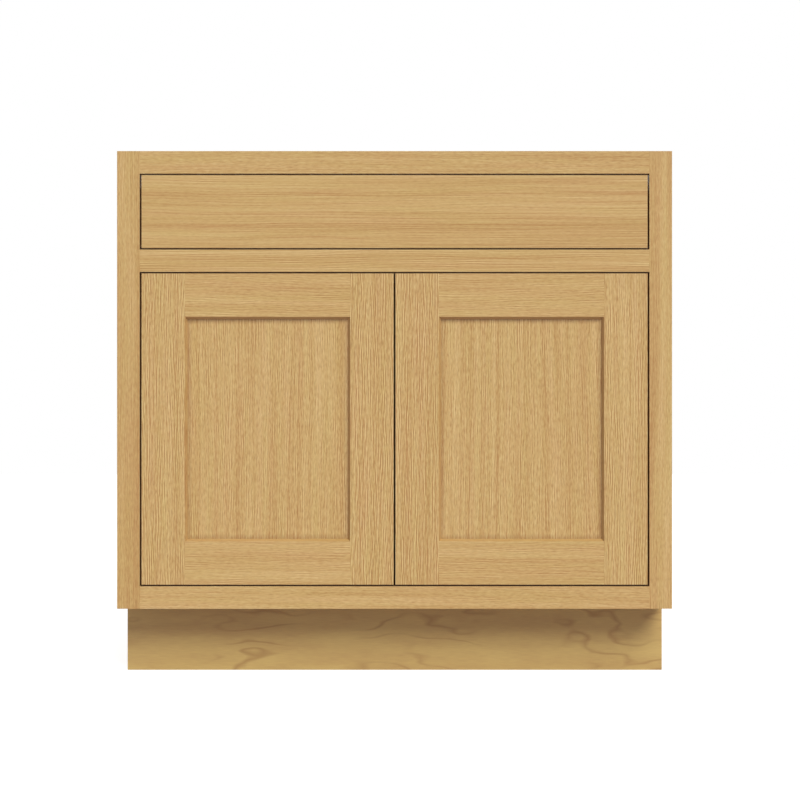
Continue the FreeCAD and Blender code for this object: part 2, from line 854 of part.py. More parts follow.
def hinge_plate(side, hinge):
    base = block(
        side,
        ("0", "plate_thickness"),
        ("plate_front_back", "plate_rear_back"),
        f"{hinge} - plate_half_height",
        f"{hinge} + plate_half_height",
    )
    rail = block(
        side,
        ("plate_thickness", "arm_heel_across + arm_web_across - arm_web_thickness / 2"),
        ("plate_rail_front", "arm_tail_back"),
        f"{hinge} - plate_rail_half_height",
        f"{hinge} + plate_rail_half_height",
    )
    return base.fuse(rail).removeSplitter().cut(mounting_pilots[side])


def hinge_cup(side, hinge):
    centre = cup_place(side, hinge)
    inwards = ALONG_Y * -1
    top = centre + ALONG_Y * size("flange_thickness")
    shell = disc("cup_radius", centre, inwards, "cup_depth")
    rim = disc("flange_radius", top, inwards, "flange_thickness")
    wing_centre = cup_place(side, hinge, "cup_screw_offset")
    half = V(size("flange_width / 2"), 0, size("flange_length / 2"))
    wing = Part.makeBox(
        size("flange_width"), size("flange_thickness"), size("flange_length"), wing_centre - half
    )
    hollow = disc("cup_inner_radius", top, inwards, "cup_depth - cup_wall + flange_thickness")
    holes = []
    for end in (-1, 1):
        hole_top = cup_place(side, hinge, "cup_screw_offset", f"{end} * cup_screw_spacing / 2")
        hole_top = hole_top + ALONG_Y * size("flange_thickness")
        holes.append(pilot(hole_top, inwards, "screw_length"))
    shape = shell.fuse([rim, wing]).cut([hollow] + holes)
    reach = "sqrt(cup_inner_radius^2 - (cup_pivot_across - cup_centre)^2) + cup_wall / 2"
    pin = eye(side, CUP_PIVOT, "cup_pin_radius", minus(reach), reach, hinge, "pin_sides")
    return shape.fuse(pin).removeSplitter()


def pair(name, maker, side):
    return shaped(name, Part.makeCompound([maker(side, hinge) for hinge in HINGES]))


for word, side in SIDES:
    keep(f"hinge_cups_{word}", pair(f"cups_{word}", hinge_cup, side))
    keep(f"hinge_arms_{word}", pair(f"arms_{word}", hinge_arm, side))
    keep(f"hinge_inner_links_{word}", pair(f"inner_links_{word}", inner_link, side))
    keep(f"hinge_outer_links_{word}", pair(f"outer_links_{word}", outer_link, side))
plates = [hinge_plate(side, hinge) for _, side in SIDES for hinge in HINGES]
keep("hinge_plates", shaped("plates", Part.makeCompound(plates)))


# Drawer box: the sides' tails fill dovetail sockets in the front and back boards
def tail_corners(shoulder, way, heights):
    """The corners of one end's tails: up the front end with way -1, and down the rear end with way 1."""
    tip = f"{shoulder} + {way} * tail_length"
    corners = []
    for i in heights:
        centre = f"box_low + box_height / tail_count * ({i} + 1 / 2)"
        corners += [
            (shoulder, f"{centre} + {way} * tail_root_width / 2"),
            (tip, f"{centre} + {way} * tail_tip_width / 2"),
            (tip, f"{centre} - {way} * tail_tip_width / 2"),
            (shoulder, f"{centre} - {way} * tail_root_width / 2"),
        ]
    return corners


def drawer_side(name, side):
    rows = range(SIZES["tail_count"])
    corners = [("box_front_back", "box_low")]
    corners += tail_corners("box_front_back", -1, rows)
    corners += [("box_front_back", "box_low + box_height"), ("box_rear_front", "box_low + box_height")]
    corners += tail_corners("box_rear_front", 1, reversed(rows))
    corners += [("box_rear_front", "box_low")]
    body = padded(name, "YZ_Plane", corners, "box_board", reverse=side < 0)
    return moved(body, across=f"{side} * box_inner_half")


box_tall = ("box_low", "box_low + box_height")
drawer_bottom = board(
    "box_bottom",
    both("box_inner_half + box_groove"),
    ("box_front_back - box_groove", "box_rear_front + box_groove"),
    ("box_bottom_low", "box_bottom_low + box_bottom_thickness"),
)
side_blanks = [drawer_side(f"box_{word}_blank", side) for word, side in SIDES]
for (word, side), blank in zip(SIDES, side_blanks):
    keep(f"drawer_side_{word}", carve(f"box_side_{word}", blank, [drawer_bottom]))

front_screws = []
front_pilots = []
for _, side in SIDES:
    for height in ("box_low + front_screw_edge", "box_low + box_height - front_screw_edge"):
        start = V(side * size("box_inner_half - front_screw_inset"), size("box_front_back"), size(height))
        front_screws.append(screw(start, ALONG_Y * -1, "front_screw_length"))
        front_pilots.append(pilot(start, ALONG_Y * -1, "front_screw_length"))
front_holes = shaped("drawer_front_holes", Part.makeCompound(front_pilots))
keep("drawer_front_screws", shaped("front_screws", Part.makeCompound(front_screws)))

front_blank = board("box_front_blank", both("box_half"), ("frame_back", "box_front_back"), box_tall)
keep("drawer_box_front", carve("box_front", front_blank, side_blanks + [drawer_bottom, front_holes]))
notches = [
    board(
        f"box_notch_{word}",
        mirrored(side, "runner_centre - runner_half_width - notch_play", "box_inner_half"),
        ("box_rear_front - cut_overrun", "box_rear + cut_overrun"),
        ("box_low - cut_overrun", "box_bottom_low"),
    )
    for word, side in SIDES
]
back_blank = board("box_back_blank", both("box_half"), ("box_rear_front", "box_rear"), box_tall)
keep("drawer_box_back", carve("box_back", back_blank, side_blanks + [drawer_bottom] + notches))
keep("drawer_bottom", drawer_bottom)
slab = board(
    "slab",
    both("opening_half - gap_side"),
    ("front", "front + door_thickness"),
    ("drawer_low + gap_level", "drawer_high - gap_level"),
)
keep("drawer_front", carve("drawer_front_slab", slab, [front_holes]))


# Undermount runners: folded channels, one inside the next, with roller carriages between them
def channel(name, side, corners, start, length):
    """A folded section, given by its place out from the runner's centre and its height."""
    places = [(f"{side} * (runner_centre + ({out}))", up) for out, up in corners]
    body = padded(name, "XZ_Plane", places, length, reverse=True)
    return moved(body, deep=start)


def mirror_corners(half):
    """A half section repeated on the other side of the runner's centre."""
    return half + [(minus(out), up) for out, up in reversed(half)]


def cabinet_channel(name, side):
    top = "runner_floor + cabinet_leg"
    leg = [
        ("runner_half_width", top),
        ("runner_half_width - runner_gauge - runner_lip", top),
        ("runner_half_width - runner_gauge - runner_lip", f"{top} - runner_gauge"),
        ("runner_half_width - runner_gauge", f"{top} - runner_gauge"),
        ("runner_half_width - runner_gauge", "runner_floor"),
    ]
    corners = [
        ("0 - runner_half_width", "wing_low"),
        ("runner_inset", "wing_low"),
        ("runner_inset", "wing_low + cabinet_wing_height"),
        ("runner_inset - runner_gauge", "wing_low + cabinet_wing_height"),
        ("runner_inset - runner_gauge", "runner_floor"),
        ("runner_half_width", "runner_floor"),
    ] + mirror_corners(leg)
    return channel(name, side, corners, "frame_back + runner_end_play", "cabinet_runner_length")


def middle_channel(name, side):
    half = [
        ("middle_half_width", "middle_bottom"),
        ("middle_half_width", "middle_bottom + middle_gauge"),
        ("middle_web_half_width", "middle_bottom + middle_gauge"),
        ("middle_web_half_width", "middle_top - middle_gauge"),
        ("middle_half_width", "middle_top - middle_gauge"),
        ("middle_half_width", "middle_top"),
    ]
    return channel(name, side, mirror_corners(half), "box_front_back + runner_end_play", "runner_length")


def drawer_channel(name, side):
    foot = "ceiling - runner_leg"
    half = [
        ("runner_half_width", "box_bottom_low"),
        ("runner_half_width", foot),
        ("runner_half_width - runner_gauge - runner_lip", foot),
        ("runner_half_width - runner_gauge - runner_lip", f"{foot} + runner_gauge"),
        ("runner_half_width - runner_gauge", f"{foot} + runner_gauge"),
        ("runner_half_width - runner_gauge", "ceiling"),
    ]
    return channel(name, side, mirror_corners(half), "box_front_back + runner_end_play", "runner_length")


def roller_carriage(side, start, height):
    """A flat cage with a row of rollers, each loose in its own pocket."""
    centre = side * size("runner_centre")
    count = SIZES["roller_count"]
    length = size("2 * carriage_margin + roller_pitch * (roller_count - 1)")
    half = size("carriage_half_width")
    thickness = size("carriage_thickness")
    corner = V(centre - half, size(start), size(height) - thickness / 2)
    cage = Part.makeBox(2 * half, length, thickness, corner)
    radius = size("roller_radius")
    reach = size("roller_half_length")
    play = size("carriage_pocket_play")
    rollers = []
    pockets = []
    for i in range(count):
        back = size(start) + size("carriage_margin") + i * size("roller_pitch")
        middle = V(centre - reach, back, size(height))
        rollers.append(prism("roller_radius", "pin_sides", middle, ALONG_X, "2 * roller_half_length"))
        pocket_corner = V(centre - reach - play, back - radius - play, corner.z - thickness)
        pockets.append(Part.makeBox(2 * (reach + play), 2 * (radius + play), 3 * thickness, pocket_corner))
    return [cage.cut(pockets)] + rollers


for word, side in SIDES:
    rail = cabinet_channel(f"cabinet_channel_{word}", side)
    keep(f"runner_cabinet_{word}", carve(f"cabinet_runner_{word}", rail, [pilots[side]]))
    keep(f"runner_middle_{word}", middle_channel(f"middle_channel_{word}", side))
    keep(f"runner_drawer_{word}", drawer_channel(f"drawer_channel_{word}", side))
for place, setback, height in (
    ("lower", "lower_carriage_setback", "(runner_floor + middle_bottom) / 2"),
    ("upper", "upper_carriage_setback", "(middle_top + ceiling) / 2"),
):
    solids = []
    for _, side in SIDES:
        solids += roller_carriage(side, f"frame_back + {setback}", height)
    keep(f"roller_carriages_{place}", shaped(f"carriages_{place}", Part.makeCompound(solids)))


# Clips under the box's front corners that hold it on the runners
def runner_clip(name, side):
    corners = [
        ("box_front_back", "box_bottom_low"),
        ("box_front_back + clip_length", "box_bottom_low"),
        ("box_front_back + clip_length", "box_bottom_low - clip_height / 2"),
        ("box_front_back + clip_lever_length", "box_bottom_low - clip_height"),
        ("box_front_back", "box_bottom_low - clip_height"),
    ]
    body = padded(name, "YZ_Plane", corners, "clip_width", reverse=side > 0)
    return moved(body, across=f"{side} * (runner_centre - runner_half_width)")


keep("runner_clips", together("clips", [runner_clip(f"clip_{word}", side) for word, side in SIDES]))

# Every feature has to be sound before a file is written
doc.recompute()
faults = [item.Name for item in doc.Objects if "Invalid" in item.State or "Error" in item.State]
if faults:
    raise RuntimeError(f"features that failed: {faults}")
for node, piece in nodes.items():
    if piece.Shape.isNull() or not piece.Shape.isValid() or not piece.Shape.Solids:
        raise RuntimeError(f"{node} is not a sound solid")

os.makedirs("parts", exist_ok=True)
for node, piece in nodes.items():
    piece.Shape.exportStep(os.path.join("parts", node + ".step"))
print(len(nodes), "sub-parts written")
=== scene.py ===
"""Finishes, fastenings and studio for a kitchen base cabinet, round its packed construction model."""

import json
import logging
import math
import random
from dataclasses import dataclass, replace
from enum import Enum
from functools import lru_cache

import bmesh
import bpy
from bmesh.types import BMEdge, BMesh, BMVert
from bpy.types import Material, Node, NodeSocket, NodeTree, Object, World
from mathutils import Matrix, Vector


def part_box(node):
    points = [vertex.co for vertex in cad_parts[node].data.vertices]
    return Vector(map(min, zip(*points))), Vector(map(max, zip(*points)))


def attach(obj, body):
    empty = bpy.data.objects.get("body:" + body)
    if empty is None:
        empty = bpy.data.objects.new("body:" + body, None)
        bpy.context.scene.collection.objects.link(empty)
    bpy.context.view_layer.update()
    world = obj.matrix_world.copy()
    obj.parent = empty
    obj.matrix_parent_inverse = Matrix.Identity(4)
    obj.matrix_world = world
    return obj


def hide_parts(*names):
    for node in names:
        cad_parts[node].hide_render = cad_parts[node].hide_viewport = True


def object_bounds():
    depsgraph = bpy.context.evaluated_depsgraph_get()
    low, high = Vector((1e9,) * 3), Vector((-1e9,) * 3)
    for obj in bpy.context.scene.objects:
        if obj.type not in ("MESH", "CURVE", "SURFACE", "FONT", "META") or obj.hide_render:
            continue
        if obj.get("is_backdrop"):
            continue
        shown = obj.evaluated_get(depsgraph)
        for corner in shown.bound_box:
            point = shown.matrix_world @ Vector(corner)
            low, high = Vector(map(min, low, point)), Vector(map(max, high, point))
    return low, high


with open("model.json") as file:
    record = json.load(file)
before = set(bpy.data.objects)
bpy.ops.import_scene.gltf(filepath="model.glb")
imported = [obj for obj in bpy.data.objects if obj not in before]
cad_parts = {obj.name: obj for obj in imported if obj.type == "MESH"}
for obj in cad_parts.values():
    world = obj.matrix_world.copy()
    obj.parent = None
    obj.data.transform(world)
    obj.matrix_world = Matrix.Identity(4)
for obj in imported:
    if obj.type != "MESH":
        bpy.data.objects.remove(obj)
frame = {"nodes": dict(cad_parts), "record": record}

log = logging.getLogger("cabinet")
MM = 0.001
WELD = 0.002 * MM
POLE_WELD = 0.0001 * MM
FLAT = math.radians(0.6)
WHITE = (1.0, 1.0, 1.0, 1.0)
Colour = tuple[float, float, float, float]
Triple = tuple[float, float, float]
Value = NodeSocket | float | tuple


class Axis(Enum):
    """One of the frame's axes."""

    X = 0
    Y = 1
    Z = 2

    @property
    def vector(self) -> Vector:
        """The unit vector along this axis."""
        return Vector(tuple(float(i == self.value) for i in range(3)))


class Side(Enum):
    """The left or right half of the cabinet, as the viewer sees it."""

    LEFT = -1
    RIGHT = 1

    @property
    def word(self) -> str:
        """The word that node and body names use."""
        return self.name.lower()


class Surface(Enum):
    """What a board's face shows of the wood, each with a mask of its own."""

    FACE = "face"
    EDGE = "edge"
    END = "end"
    MOULD = "mould"


def srgb(red: float, green: float, blue: float) -> Colour:
    """Turn a colour as a screen shows it, 0 to 255, into scene-linear light.

    Args:
        red: The red share.
        green: The green share.
        blue: The blue share.

    Returns:
        Red, green, blue and an alpha of 1, in linear light.
    """
    shares = [value / 255 for value in (red, green, blue)]
    linear = [share / 12.92 if share <= 0.04045 else ((share + 0.055) / 1.055) ** 2.4 for share in shares]
    return (*linear, 1.0)


def body_of(node: str) -> str:
    """Find the body that a node of the frame belongs to."""
    bodies = frame["record"]["behaviour"]["bodies"]
    return next(body for body, members in bodies.items() if node in members)


@dataclass(frozen=True)
class Pattern:
    """A noise by its scale on each axis, its detail, the span of it that counts and its roughness."""

    scale: Triple
    detail: float
    low: float
    high: float
    roughness: float = 0.5


class Graph:
    """A node tree with short calls for adding nodes and joining them."""

    def __init__(self, tree: NodeTree) -> None:
        """Work on the node tree of a material, a world or a group."""
        self.tree = tree

    def add(self, kind: str, inputs: dict[str | int, Value] | None = None, **settings: object) -> Node:
        """Add a node.

        Args:
            kind: The node's type, without its ShaderNode prefix.
            inputs: Values or output sockets for its inputs, by name or index.
            **settings: Properties of the node.

        Returns:
            The new node.
        """
        node = self.tree.nodes.new("ShaderNode" + kind)
        for name, value in settings.items():
            setattr(node, name, value)
        for key, value in (inputs or {}).items():
            self.feed(node.inputs[key], value)
        return node

    def feed(self, socket: NodeSocket, value: Value) -> None:
        """Link an output socket to an input, or set the input's own value.

        Args:
            socket: The input.
            value: An output socket, or a number, colour or vector.
        """
        if isinstance(value, NodeSocket):
            self.tree.links.new(value, socket)
        else:
            socket.default_value = value

    def math(self, operation: str, first: Value, second: Value = 0.0, third: Value = 0.0) -> NodeSocket:
        """Add a Math node and return its value."""
        return self.add("Math", {0: first, 1: second, 2: third}, operation=operation).outputs[0]

    def vector(self, operation: str, first: Value, second: Value) -> NodeSocket:
        """Add a Vector Math node and return its vector."""
        return self.add("VectorMath", {0: first, 1: second}, operation=operation).outputs[0]

    def part(self, vector: NodeSocket, axis: Axis) -> NodeSocket:
        """Return a vector's part along one axis."""
        return self.add("SeparateXYZ", {0: vector}).outputs[axis.value]

    def noise(self, place: NodeSocket, scale: Value, detail: float, roughness: float = 0.5) -> Node:
        """Add a noise texture with a scale of its own on each axis and return the node."""
        inputs = {"Vector": self.vector("MULTIPLY", place, scale), "Detail": detail, "Roughness": roughness}
        return self.add("TexNoise", inputs | {"Scale": 1.0})

    def between(self, value: Value, low: float, high: float, start: float = 0.0,
                end: float = 1.0) -> NodeSocket:
        """Map the span from low to high on the one from start to end, clamped, and return the result."""
        return self.add("MapRange", {0: value, 1: low, 2: high, 3: start, 4: end}, clamp=True).outputs[0]

    def pattern(self, place: NodeSocket, pattern: Pattern) -> NodeSocket:
        """Lay a noise pattern on a vector and return it from 0 to 1."""
        field = self.noise(place, pattern.scale, pattern.detail, pattern.roughness).outputs[0]
        return self.between(field, pattern.low, pattern.high)

    def ramp(self, value: Value, *colours: Colour) -> NodeSocket:
        """Turn a value into a colour by a ramp.

        Args:
            value: The value from 0 to 1.
            *colours: Two or more linear colours, evenly spaced along the ramp.

        Returns:
            The colour's socket.
        """
        node = self.add("ValToRGB", {0: value})
        elements = node.color_ramp.elements
        while len(elements) < len(colours):
            elements.new(0.5)
        for i, (element, colour) in enumerate(zip(elements, colours)):
            element.position = i / (len(colours) - 1)
            element.color = colour
        return node.outputs["Color"]

    def mix(self, share: Value, first: Value, second: Value, blend: str = "MIX") -> NodeSocket:
        """Mix two colours and return the result."""
        inputs = {"Factor": share, 6: first, 7: second}
        return self.add("Mix", inputs, data_type="RGBA", blend_type=blend).outputs[2]

    def bump(self, height: NodeSocket, strength: float, distance: float) -> NodeSocket:
        """Turn a height into a normal and return it."""
        return self.add("Bump", {"Height": height, "Strength": strength, "Distance": distance}).outputs[0]

    def group(self, tree: NodeTree, inputs: dict[str, Value]) -> Node:
        """Place a shared node group and feed its inputs."""
        return self.add("Group", inputs, node_tree=tree)

    def dress(self, shader: Node, colour: NodeSocket, roughness: NodeSocket, normal: NodeSocket) -> None:
        """Feed a Principled shader with what changes over the surface."""
        for name, value in {"Base Color": colour, "Roughness": roughness, "Normal": normal}.items():
            self.feed(shader.inputs[name], value)

    def choose(self, share: NodeSocket, first: Node, second: Node) -> Node:
        """Mix two shaders and return the node."""
        return self.add("MixShader", {0: share, 1: first.outputs[0], 2: second.outputs[0]})

    def show(self, shader: Node, output: str = "OutputMaterial") -> None:
        """Join a shader to a new output node."""
        self.feed(self.add(output).inputs["Surface"], shader.outputs[0])


def cleared(owner: Material | World) -> Graph:
    """Empty the node tree of a material or world.

    Args:
        owner: The material or world.

    Returns:
        The graph of its tree.
    """
    owner.use_nodes = True
    owner.node_tree.nodes.clear()
    return Graph(owner.node_tree)


def new_group(name: str, inputs: dict[str, str], outputs: tuple[str, ...]) -> tuple[Graph, Node, Node]:
    """Make an empty node group.

    Args:
        name: The group's name.
        inputs: Socket types by name, such as NodeSocketFloat.
        outputs: The names of its outputs, all numbers.

    Returns:
        The group's graph, its input node and its output node.
    """
    tree = bpy.data.node_groups.new(name, "ShaderNodeTree")
    for label, kind in inputs.items():
        tree.interface.new_socket(label, in_out="INPUT", socket_type=kind)
    for label in outputs:
        tree.interface.new_socket(label, in_out="OUTPUT", socket_type="NodeSocketFloat")
    return Graph(tree), tree.nodes.new("NodeGroupInput"), tree.nodes.new("NodeGroupOutput")


@lru_cache(maxsize=None)
def straight_grain() -> NodeTree:
    """Build the shared figure of straight-grained wood.

    Its inputs, in metres, are a place in the board and how far a ring line runs before it fades. The place is
    given across the width, through the thickness and along the grain.

    Returns:
        A group with outputs Lines, Rings, Bands, Flecks, Pores and Hue. Lines swings round a half, and the
        others run from 0 to 1.
    """
    patterns = {
        "Rings": Pattern((640.0, 400.0, 1.2), detail=0.0, low=0.2, high=0.8),
        "Bands": Pattern((110.0, 50.0, 1.2), detail=1.0, low=0.2, high=0.8),
        "Flecks": Pattern((700.0, 430.0, 110.0), detail=1.0, low=0.2, high=0.8),
        "Pores": Pattern((1500.0, 900.0, 110.0), detail=0.0, low=0.58, high=0.74),
        "Hue": Pattern((90.0, 60.0, 5.0), detail=1.0, low=0.25, high=0.75),
    }
    inputs = {"Board": "NodeSocketVector", "Run": "NodeSocketFloat"}
    graph, entry, leave = new_group("straight_grain", inputs, ("Lines", *patterns))
    board = entry.outputs["Board"]

    # The grain wavers slowly along the board
    drift = graph.noise(board, (6.0, 6.0, 1.6), detail=1.0).outputs["Color"]
    waver = graph.vector("MULTIPLY", graph.vector("SUBTRACT", drift, (0.5, 0.5, 0.5)), (0.022, 0.022, 0.0))
    wavy = graph.vector("ADD", board, waver)

    # Growth rings stand at a slant to the face of a rift-sawn board
    tilt = math.radians(38)
    slant = graph.add("VectorRotate", {"Vector": wavy, "Angle": tilt}, rotation_type="Z_AXIS").outputs[0]

    # Evenly spaced ring lines come and go in patches
    spacing = 3.5 * MM * math.cos(tilt)
    contrast = 3.0
    wave = graph.math("SINE", graph.math("MULTIPLY", graph.part(slant, Axis.X), math.tau / spacing))
    length = graph.math("DIVIDE", 1.0, entry.outputs["Run"])
    scale = graph.add("CombineXYZ", {0: 200.0, 1: 120.0, 2: length}).outputs[0]
    patches = graph.noise(slant, scale, detail=0.0).outputs[0]
    lines = graph.math("MULTIPLY", wave, graph.math("SUBTRACT", patches, 0.5))
    graph.feed(leave.inputs["Lines"], graph.math("MULTIPLY_ADD", lines, contrast, 0.5))
    for name, pattern in patterns.items():
        graph.feed(leave.inputs[name], graph.pattern(slant, pattern))
    return graph.tree


@lru_cache(maxsize=None)
def soft_figure() -> NodeTree:
    """Build the shared figure of a pale rotary-cut veneer: broad clouds and a few thin winding lines.

    Returns:
        A group with outputs Clouds, Lines and Fibres, each from 0 to 1.
    """
    inputs = {"Board": "NodeSocketVector"}
    graph, entry, leave = new_group("soft_figure", inputs, ("Clouds", "Lines", "Fibres"))
    board = entry.outputs["Board"]

    # The lines are the contours of a rolling height that also falls across the sheet
    lean, contours, width = 26.0, 8.0, 0.16
    hill = graph.noise(board, (13.0, 13.0, 4.0), detail=2.6).outputs[0]
    slope = graph.math("MULTIPLY", graph.part(board, Axis.X), lean)
    fall = graph.math("FRACT", graph.math("MULTIPLY_ADD", hill, contours, slope))
    crest = graph.math("ABSOLUTE", graph.math("SUBTRACT", fall, 0.5))
    line = graph.between(crest, 0.0, width, 1.0, 0.0)
    shown = graph.pattern(board, Pattern((12.0, 12.0, 7.0), detail=1.0, low=0.44, high=0.62))
    graph.feed(leave.inputs["Lines"], graph.math("MULTIPLY", line, shown))

    patterns = {
        "Clouds": Pattern((26.0, 26.0, 5.0), detail=3.0, low=0.28, high=0.72, roughness=0.6),
        "Fibres": Pattern((700.0, 700.0, 55.0), detail=2.0, low=0.26, high=0.74),
    }
    for name, pattern in patterns.items():
        graph.feed(leave.inputs[name], graph.pattern(board, pattern))
    return graph.tree


def board_place(graph: Graph) -> NodeSocket:
    """Read a piece's own place-in-the-board attribute."""
    return graph.add("Attribute", attribute_name="board").outputs["Vector"]


def mask(graph: Graph, name: str) -> NodeSocket:
    """Read a piece's own mask by its attribute's name."""
    return graph.add("Attribute", attribute_name=name).outputs["Fac"]


@dataclass(frozen=True)
class Finish:
    """What every finish has: a name, and a material built once."""

    name: str

    @lru_cache(maxsize=None)
    def material(self) -> Material:
        """Build the finish's material the first time that it is asked for.

        Returns:
            The material.
        """
        made = bpy.data.materials.new(self.name)
        graph = cleared(made)
        shader = graph.add("BsdfPrincipled")
        graph.show(shader)
        self.paint(graph, shader)
        return made

    def paint(self, graph: Graph, shader: Node) -> None:
        """Feed the shader.

        Args:
            graph: The material's graph.
            shader: Its Principled shader.
        """
        raise NotImplementedError


@dataclass(frozen=True)
class Oak(Finish):
    """Straight-grained oak under a satin lacquer, with painted shade on its recessed mouldings and round its
    gaps and recesses.
    """

    light: Colour = srgb(219, 191, 135)
    middle: Colour = srgb(201, 166, 109)
    dark: Colour = srgb(179, 134, 82)
    pore: Colour = srgb(148, 106, 64)
    lines: float = 1.0
    rings: float = 0.15
    flecks: float = 0.62
    bands: float = 0.4
    pores: float = 0.35
    run: float = 36 * MM
    streaks: tuple[Triple, ...] = ()
    streak_core: float = 0.4
    sway: float = 4 * MM
    calm: float = 0.7
    warm: Colour = (1.012, 0.988, 1.01, 1.0)
    cool: Colour = (0.988, 1.012, 0.96, 1.0)
    end_tint: Colour = (0.78, 0.72, 0.64, 1.0)
    # The mould tint is painted shade: it darkens and reddens the recessed mouldings round the panel.
    mould_tint: Colour = (0.87, 0.81, 0.78, 1.0)
    # The rim tint is painted shade along the borders of gaps and recesses.
    rim_tint: Colour = (0.08, 0.014, 0.026, 1.0)
    roughness: tuple[float, float] = (0.42, 0.52)
    specular: float = 0.3
    relief: float = 0.3
    depth: float = 0.08 * MM

    def paint(self, graph: Graph, shader: Node) -> None:
        """Feed the shader with oak's ring lines, flecks and pores.

        Args:
            graph: The material's graph.
            shader: Its Principled shader.
        """
        grain = graph.group(straight_grain(), {"Board": board_place(graph), "Run": self.run}).outputs
        shares = {"Lines": self.lines, "Rings": self.rings, "Flecks": self.flecks, "Bands": self.bands}
        tone = 0.5
        for layer, share in shares.items():
            tone = graph.math("MULTIPLY_ADD", graph.math("SUBTRACT", grain[layer], 0.5), share, tone)
        if self.streaks:
            tone = graph.math("SUBTRACT", tone, self.streak(graph))

        # The figure is calmer on a moulding
        calm = graph.math("MULTIPLY", mask(graph, Surface.MOULD.value), self.calm)
        tone = graph.math("MULTIPLY_ADD", graph.math("SUBTRACT", 0.5, tone), calm, tone)

        wood = graph.ramp(tone, self.dark, self.middle, self.light)
        colour = graph.mix(graph.math("MULTIPLY", grain["Pores"], self.pores), wood, self.pore)
        colour = graph.mix(1.0, colour, graph.ramp(grain["Hue"], self.warm, self.cool), "MULTIPLY")
        # Stain darkens the end grain; the mould and rim tints multiply in painted shade.
        tints = {Surface.END.value: self.end_tint, Surface.MOULD.value: self.mould_tint, "rim": self.rim_tint}
        for name, tint in tints.items():
            colour = graph.mix(mask(graph, name), colour, tint, "MULTIPLY")
        roughness = graph.between(grain["Flecks"], 0.0, 1.0, *self.roughness)
        height = graph.math("SUBTRACT", grain["Flecks"], grain["Pores"])
        graph.dress(shader, colour, roughness, graph.bump(height, self.relief, self.depth))
        shader.inputs["Specular IOR Level"].default_value = self.specular

    def streak(self, graph: Graph) -> NodeSocket:
        """Sum the darker streaks that run the length of the board.

        Each streak is a place across the board, its half width and its strength.

        Args:
            graph: The material's graph.

        Returns:
            How much they take from the tone.
        """
        total = 0.0
        board = board_place(graph)
        wander = graph.noise(board, (20.0, 20.0, 5.0), detail=1.0).outputs[0]
        across = graph.part(board, Axis.X)
        swayed = graph.math("MULTIPLY_ADD", graph.math("SUBTRACT", wander, 0.5), self.sway, across)
        for place, half, strength in self.streaks:
            off = graph.math("ABSOLUTE", graph.math("SUBTRACT", swayed, place))
            faded = graph.between(off, self.streak_core * half, half, strength, 0.0)
            total = graph.math("ADD", faded, total)
        return total


@dataclass(frozen=True)
class Veneer(Finish):
    """Pale veneered plywood: a softly figured face and ruled plies along the edges."""

    light: Colour = srgb(204, 174, 109)
    middle: Colour = srgb(187, 152, 96)
    line: Colour = srgb(164, 125, 76)
    ply_light: Colour = srgb(206, 176, 124)
    ply_dark: Colour = srgb(158, 120, 76)
    ply: float = 1.4 * MM
    glue: tuple[float, float] = (0.22, 0.28)
    lines: float = 0.7
    fibres: float = 0.55
    roughness: tuple[float, float] = (0.42, 0.52)
    specular: float = 0.35
    relief: float = 0.2
    depth: float = 0.06 * MM

    def paint(self, graph: Graph, shader: Node) -> None:
        """Feed the shader with the veneer's figure and the plies of its edges.

        Args:
            graph: The material's graph.
            shader: Its Principled shader.
        """
        board = board_place(graph)
        figure = graph.group(soft_figure(), {"Board": board}).outputs
        fibres = figure["Fibres"]
        tone = graph.math("MULTIPLY_ADD", graph.math("SUBTRACT", fibres, 0.5), self.fibres, figure["Clouds"])
        face = graph.ramp(tone, self.middle, self.light)
        face = graph.mix(graph.math("MULTIPLY", figure["Lines"], self.lines), face, self.line)
        turn = graph.math("FRACT", graph.math("DIVIDE", graph.part(board, Axis.Y), 2 * self.ply))
        layer = graph.between(graph.math("ABSOLUTE", graph.math("SUBTRACT", turn, 0.5)), *self.glue)
        plies = graph.ramp(layer, self.ply_dark, self.ply_light)
        sawn = graph.math("MAXIMUM", mask(graph, Surface.EDGE.value), mask(graph, Surface.END.value))
        roughness = graph.between(fibres, 0.0, 1.0, *self.roughness)
        normal = graph.bump(fibres, self.relief, self.depth)
        graph.dress(shader, graph.mix(sawn, face, plies), roughness, normal)
        shader.inputs["Specular IOR Level"].default_value = self.specular


@dataclass(frozen=True)
class Steel(Finish):
    """Pressed steel with a bright plating."""

    colour: Colour = srgb(214, 212, 206)
    shadow: Colour = srgb(204, 201, 194)
    roughness: tuple[float, float] = (0.27, 0.33)
    cloud: Pattern = Pattern((160.0, 160.0, 160.0), detail=3.0, low=0.3, high=0.7)
    brush: Triple = (900.0, 140.0, 900.0)
    relief: float = 0.12
    depth: float = 0.04 * MM

    def paint(self, graph: Graph, shader: Node) -> None:
        """Feed the shader with a faint cloudiness of the plating.

        Args:
            graph: The material's graph.
            shader: Its Principled shader.
        """
        place = graph.add("TexCoord").outputs["Object"]
        cloud = graph.pattern(place, self.cloud)
        brush = graph.noise(place, self.brush, detail=2.0).outputs[0]
        colour = graph.ramp(cloud, self.shadow, self.colour)
        roughness = graph.between(cloud, 0.0, 1.0, *self.roughness)
        graph.dress(shader, colour, roughness, graph.bump(brush, self.relief, self.depth))
        shader.inputs["Metallic"].default_value = 1.0


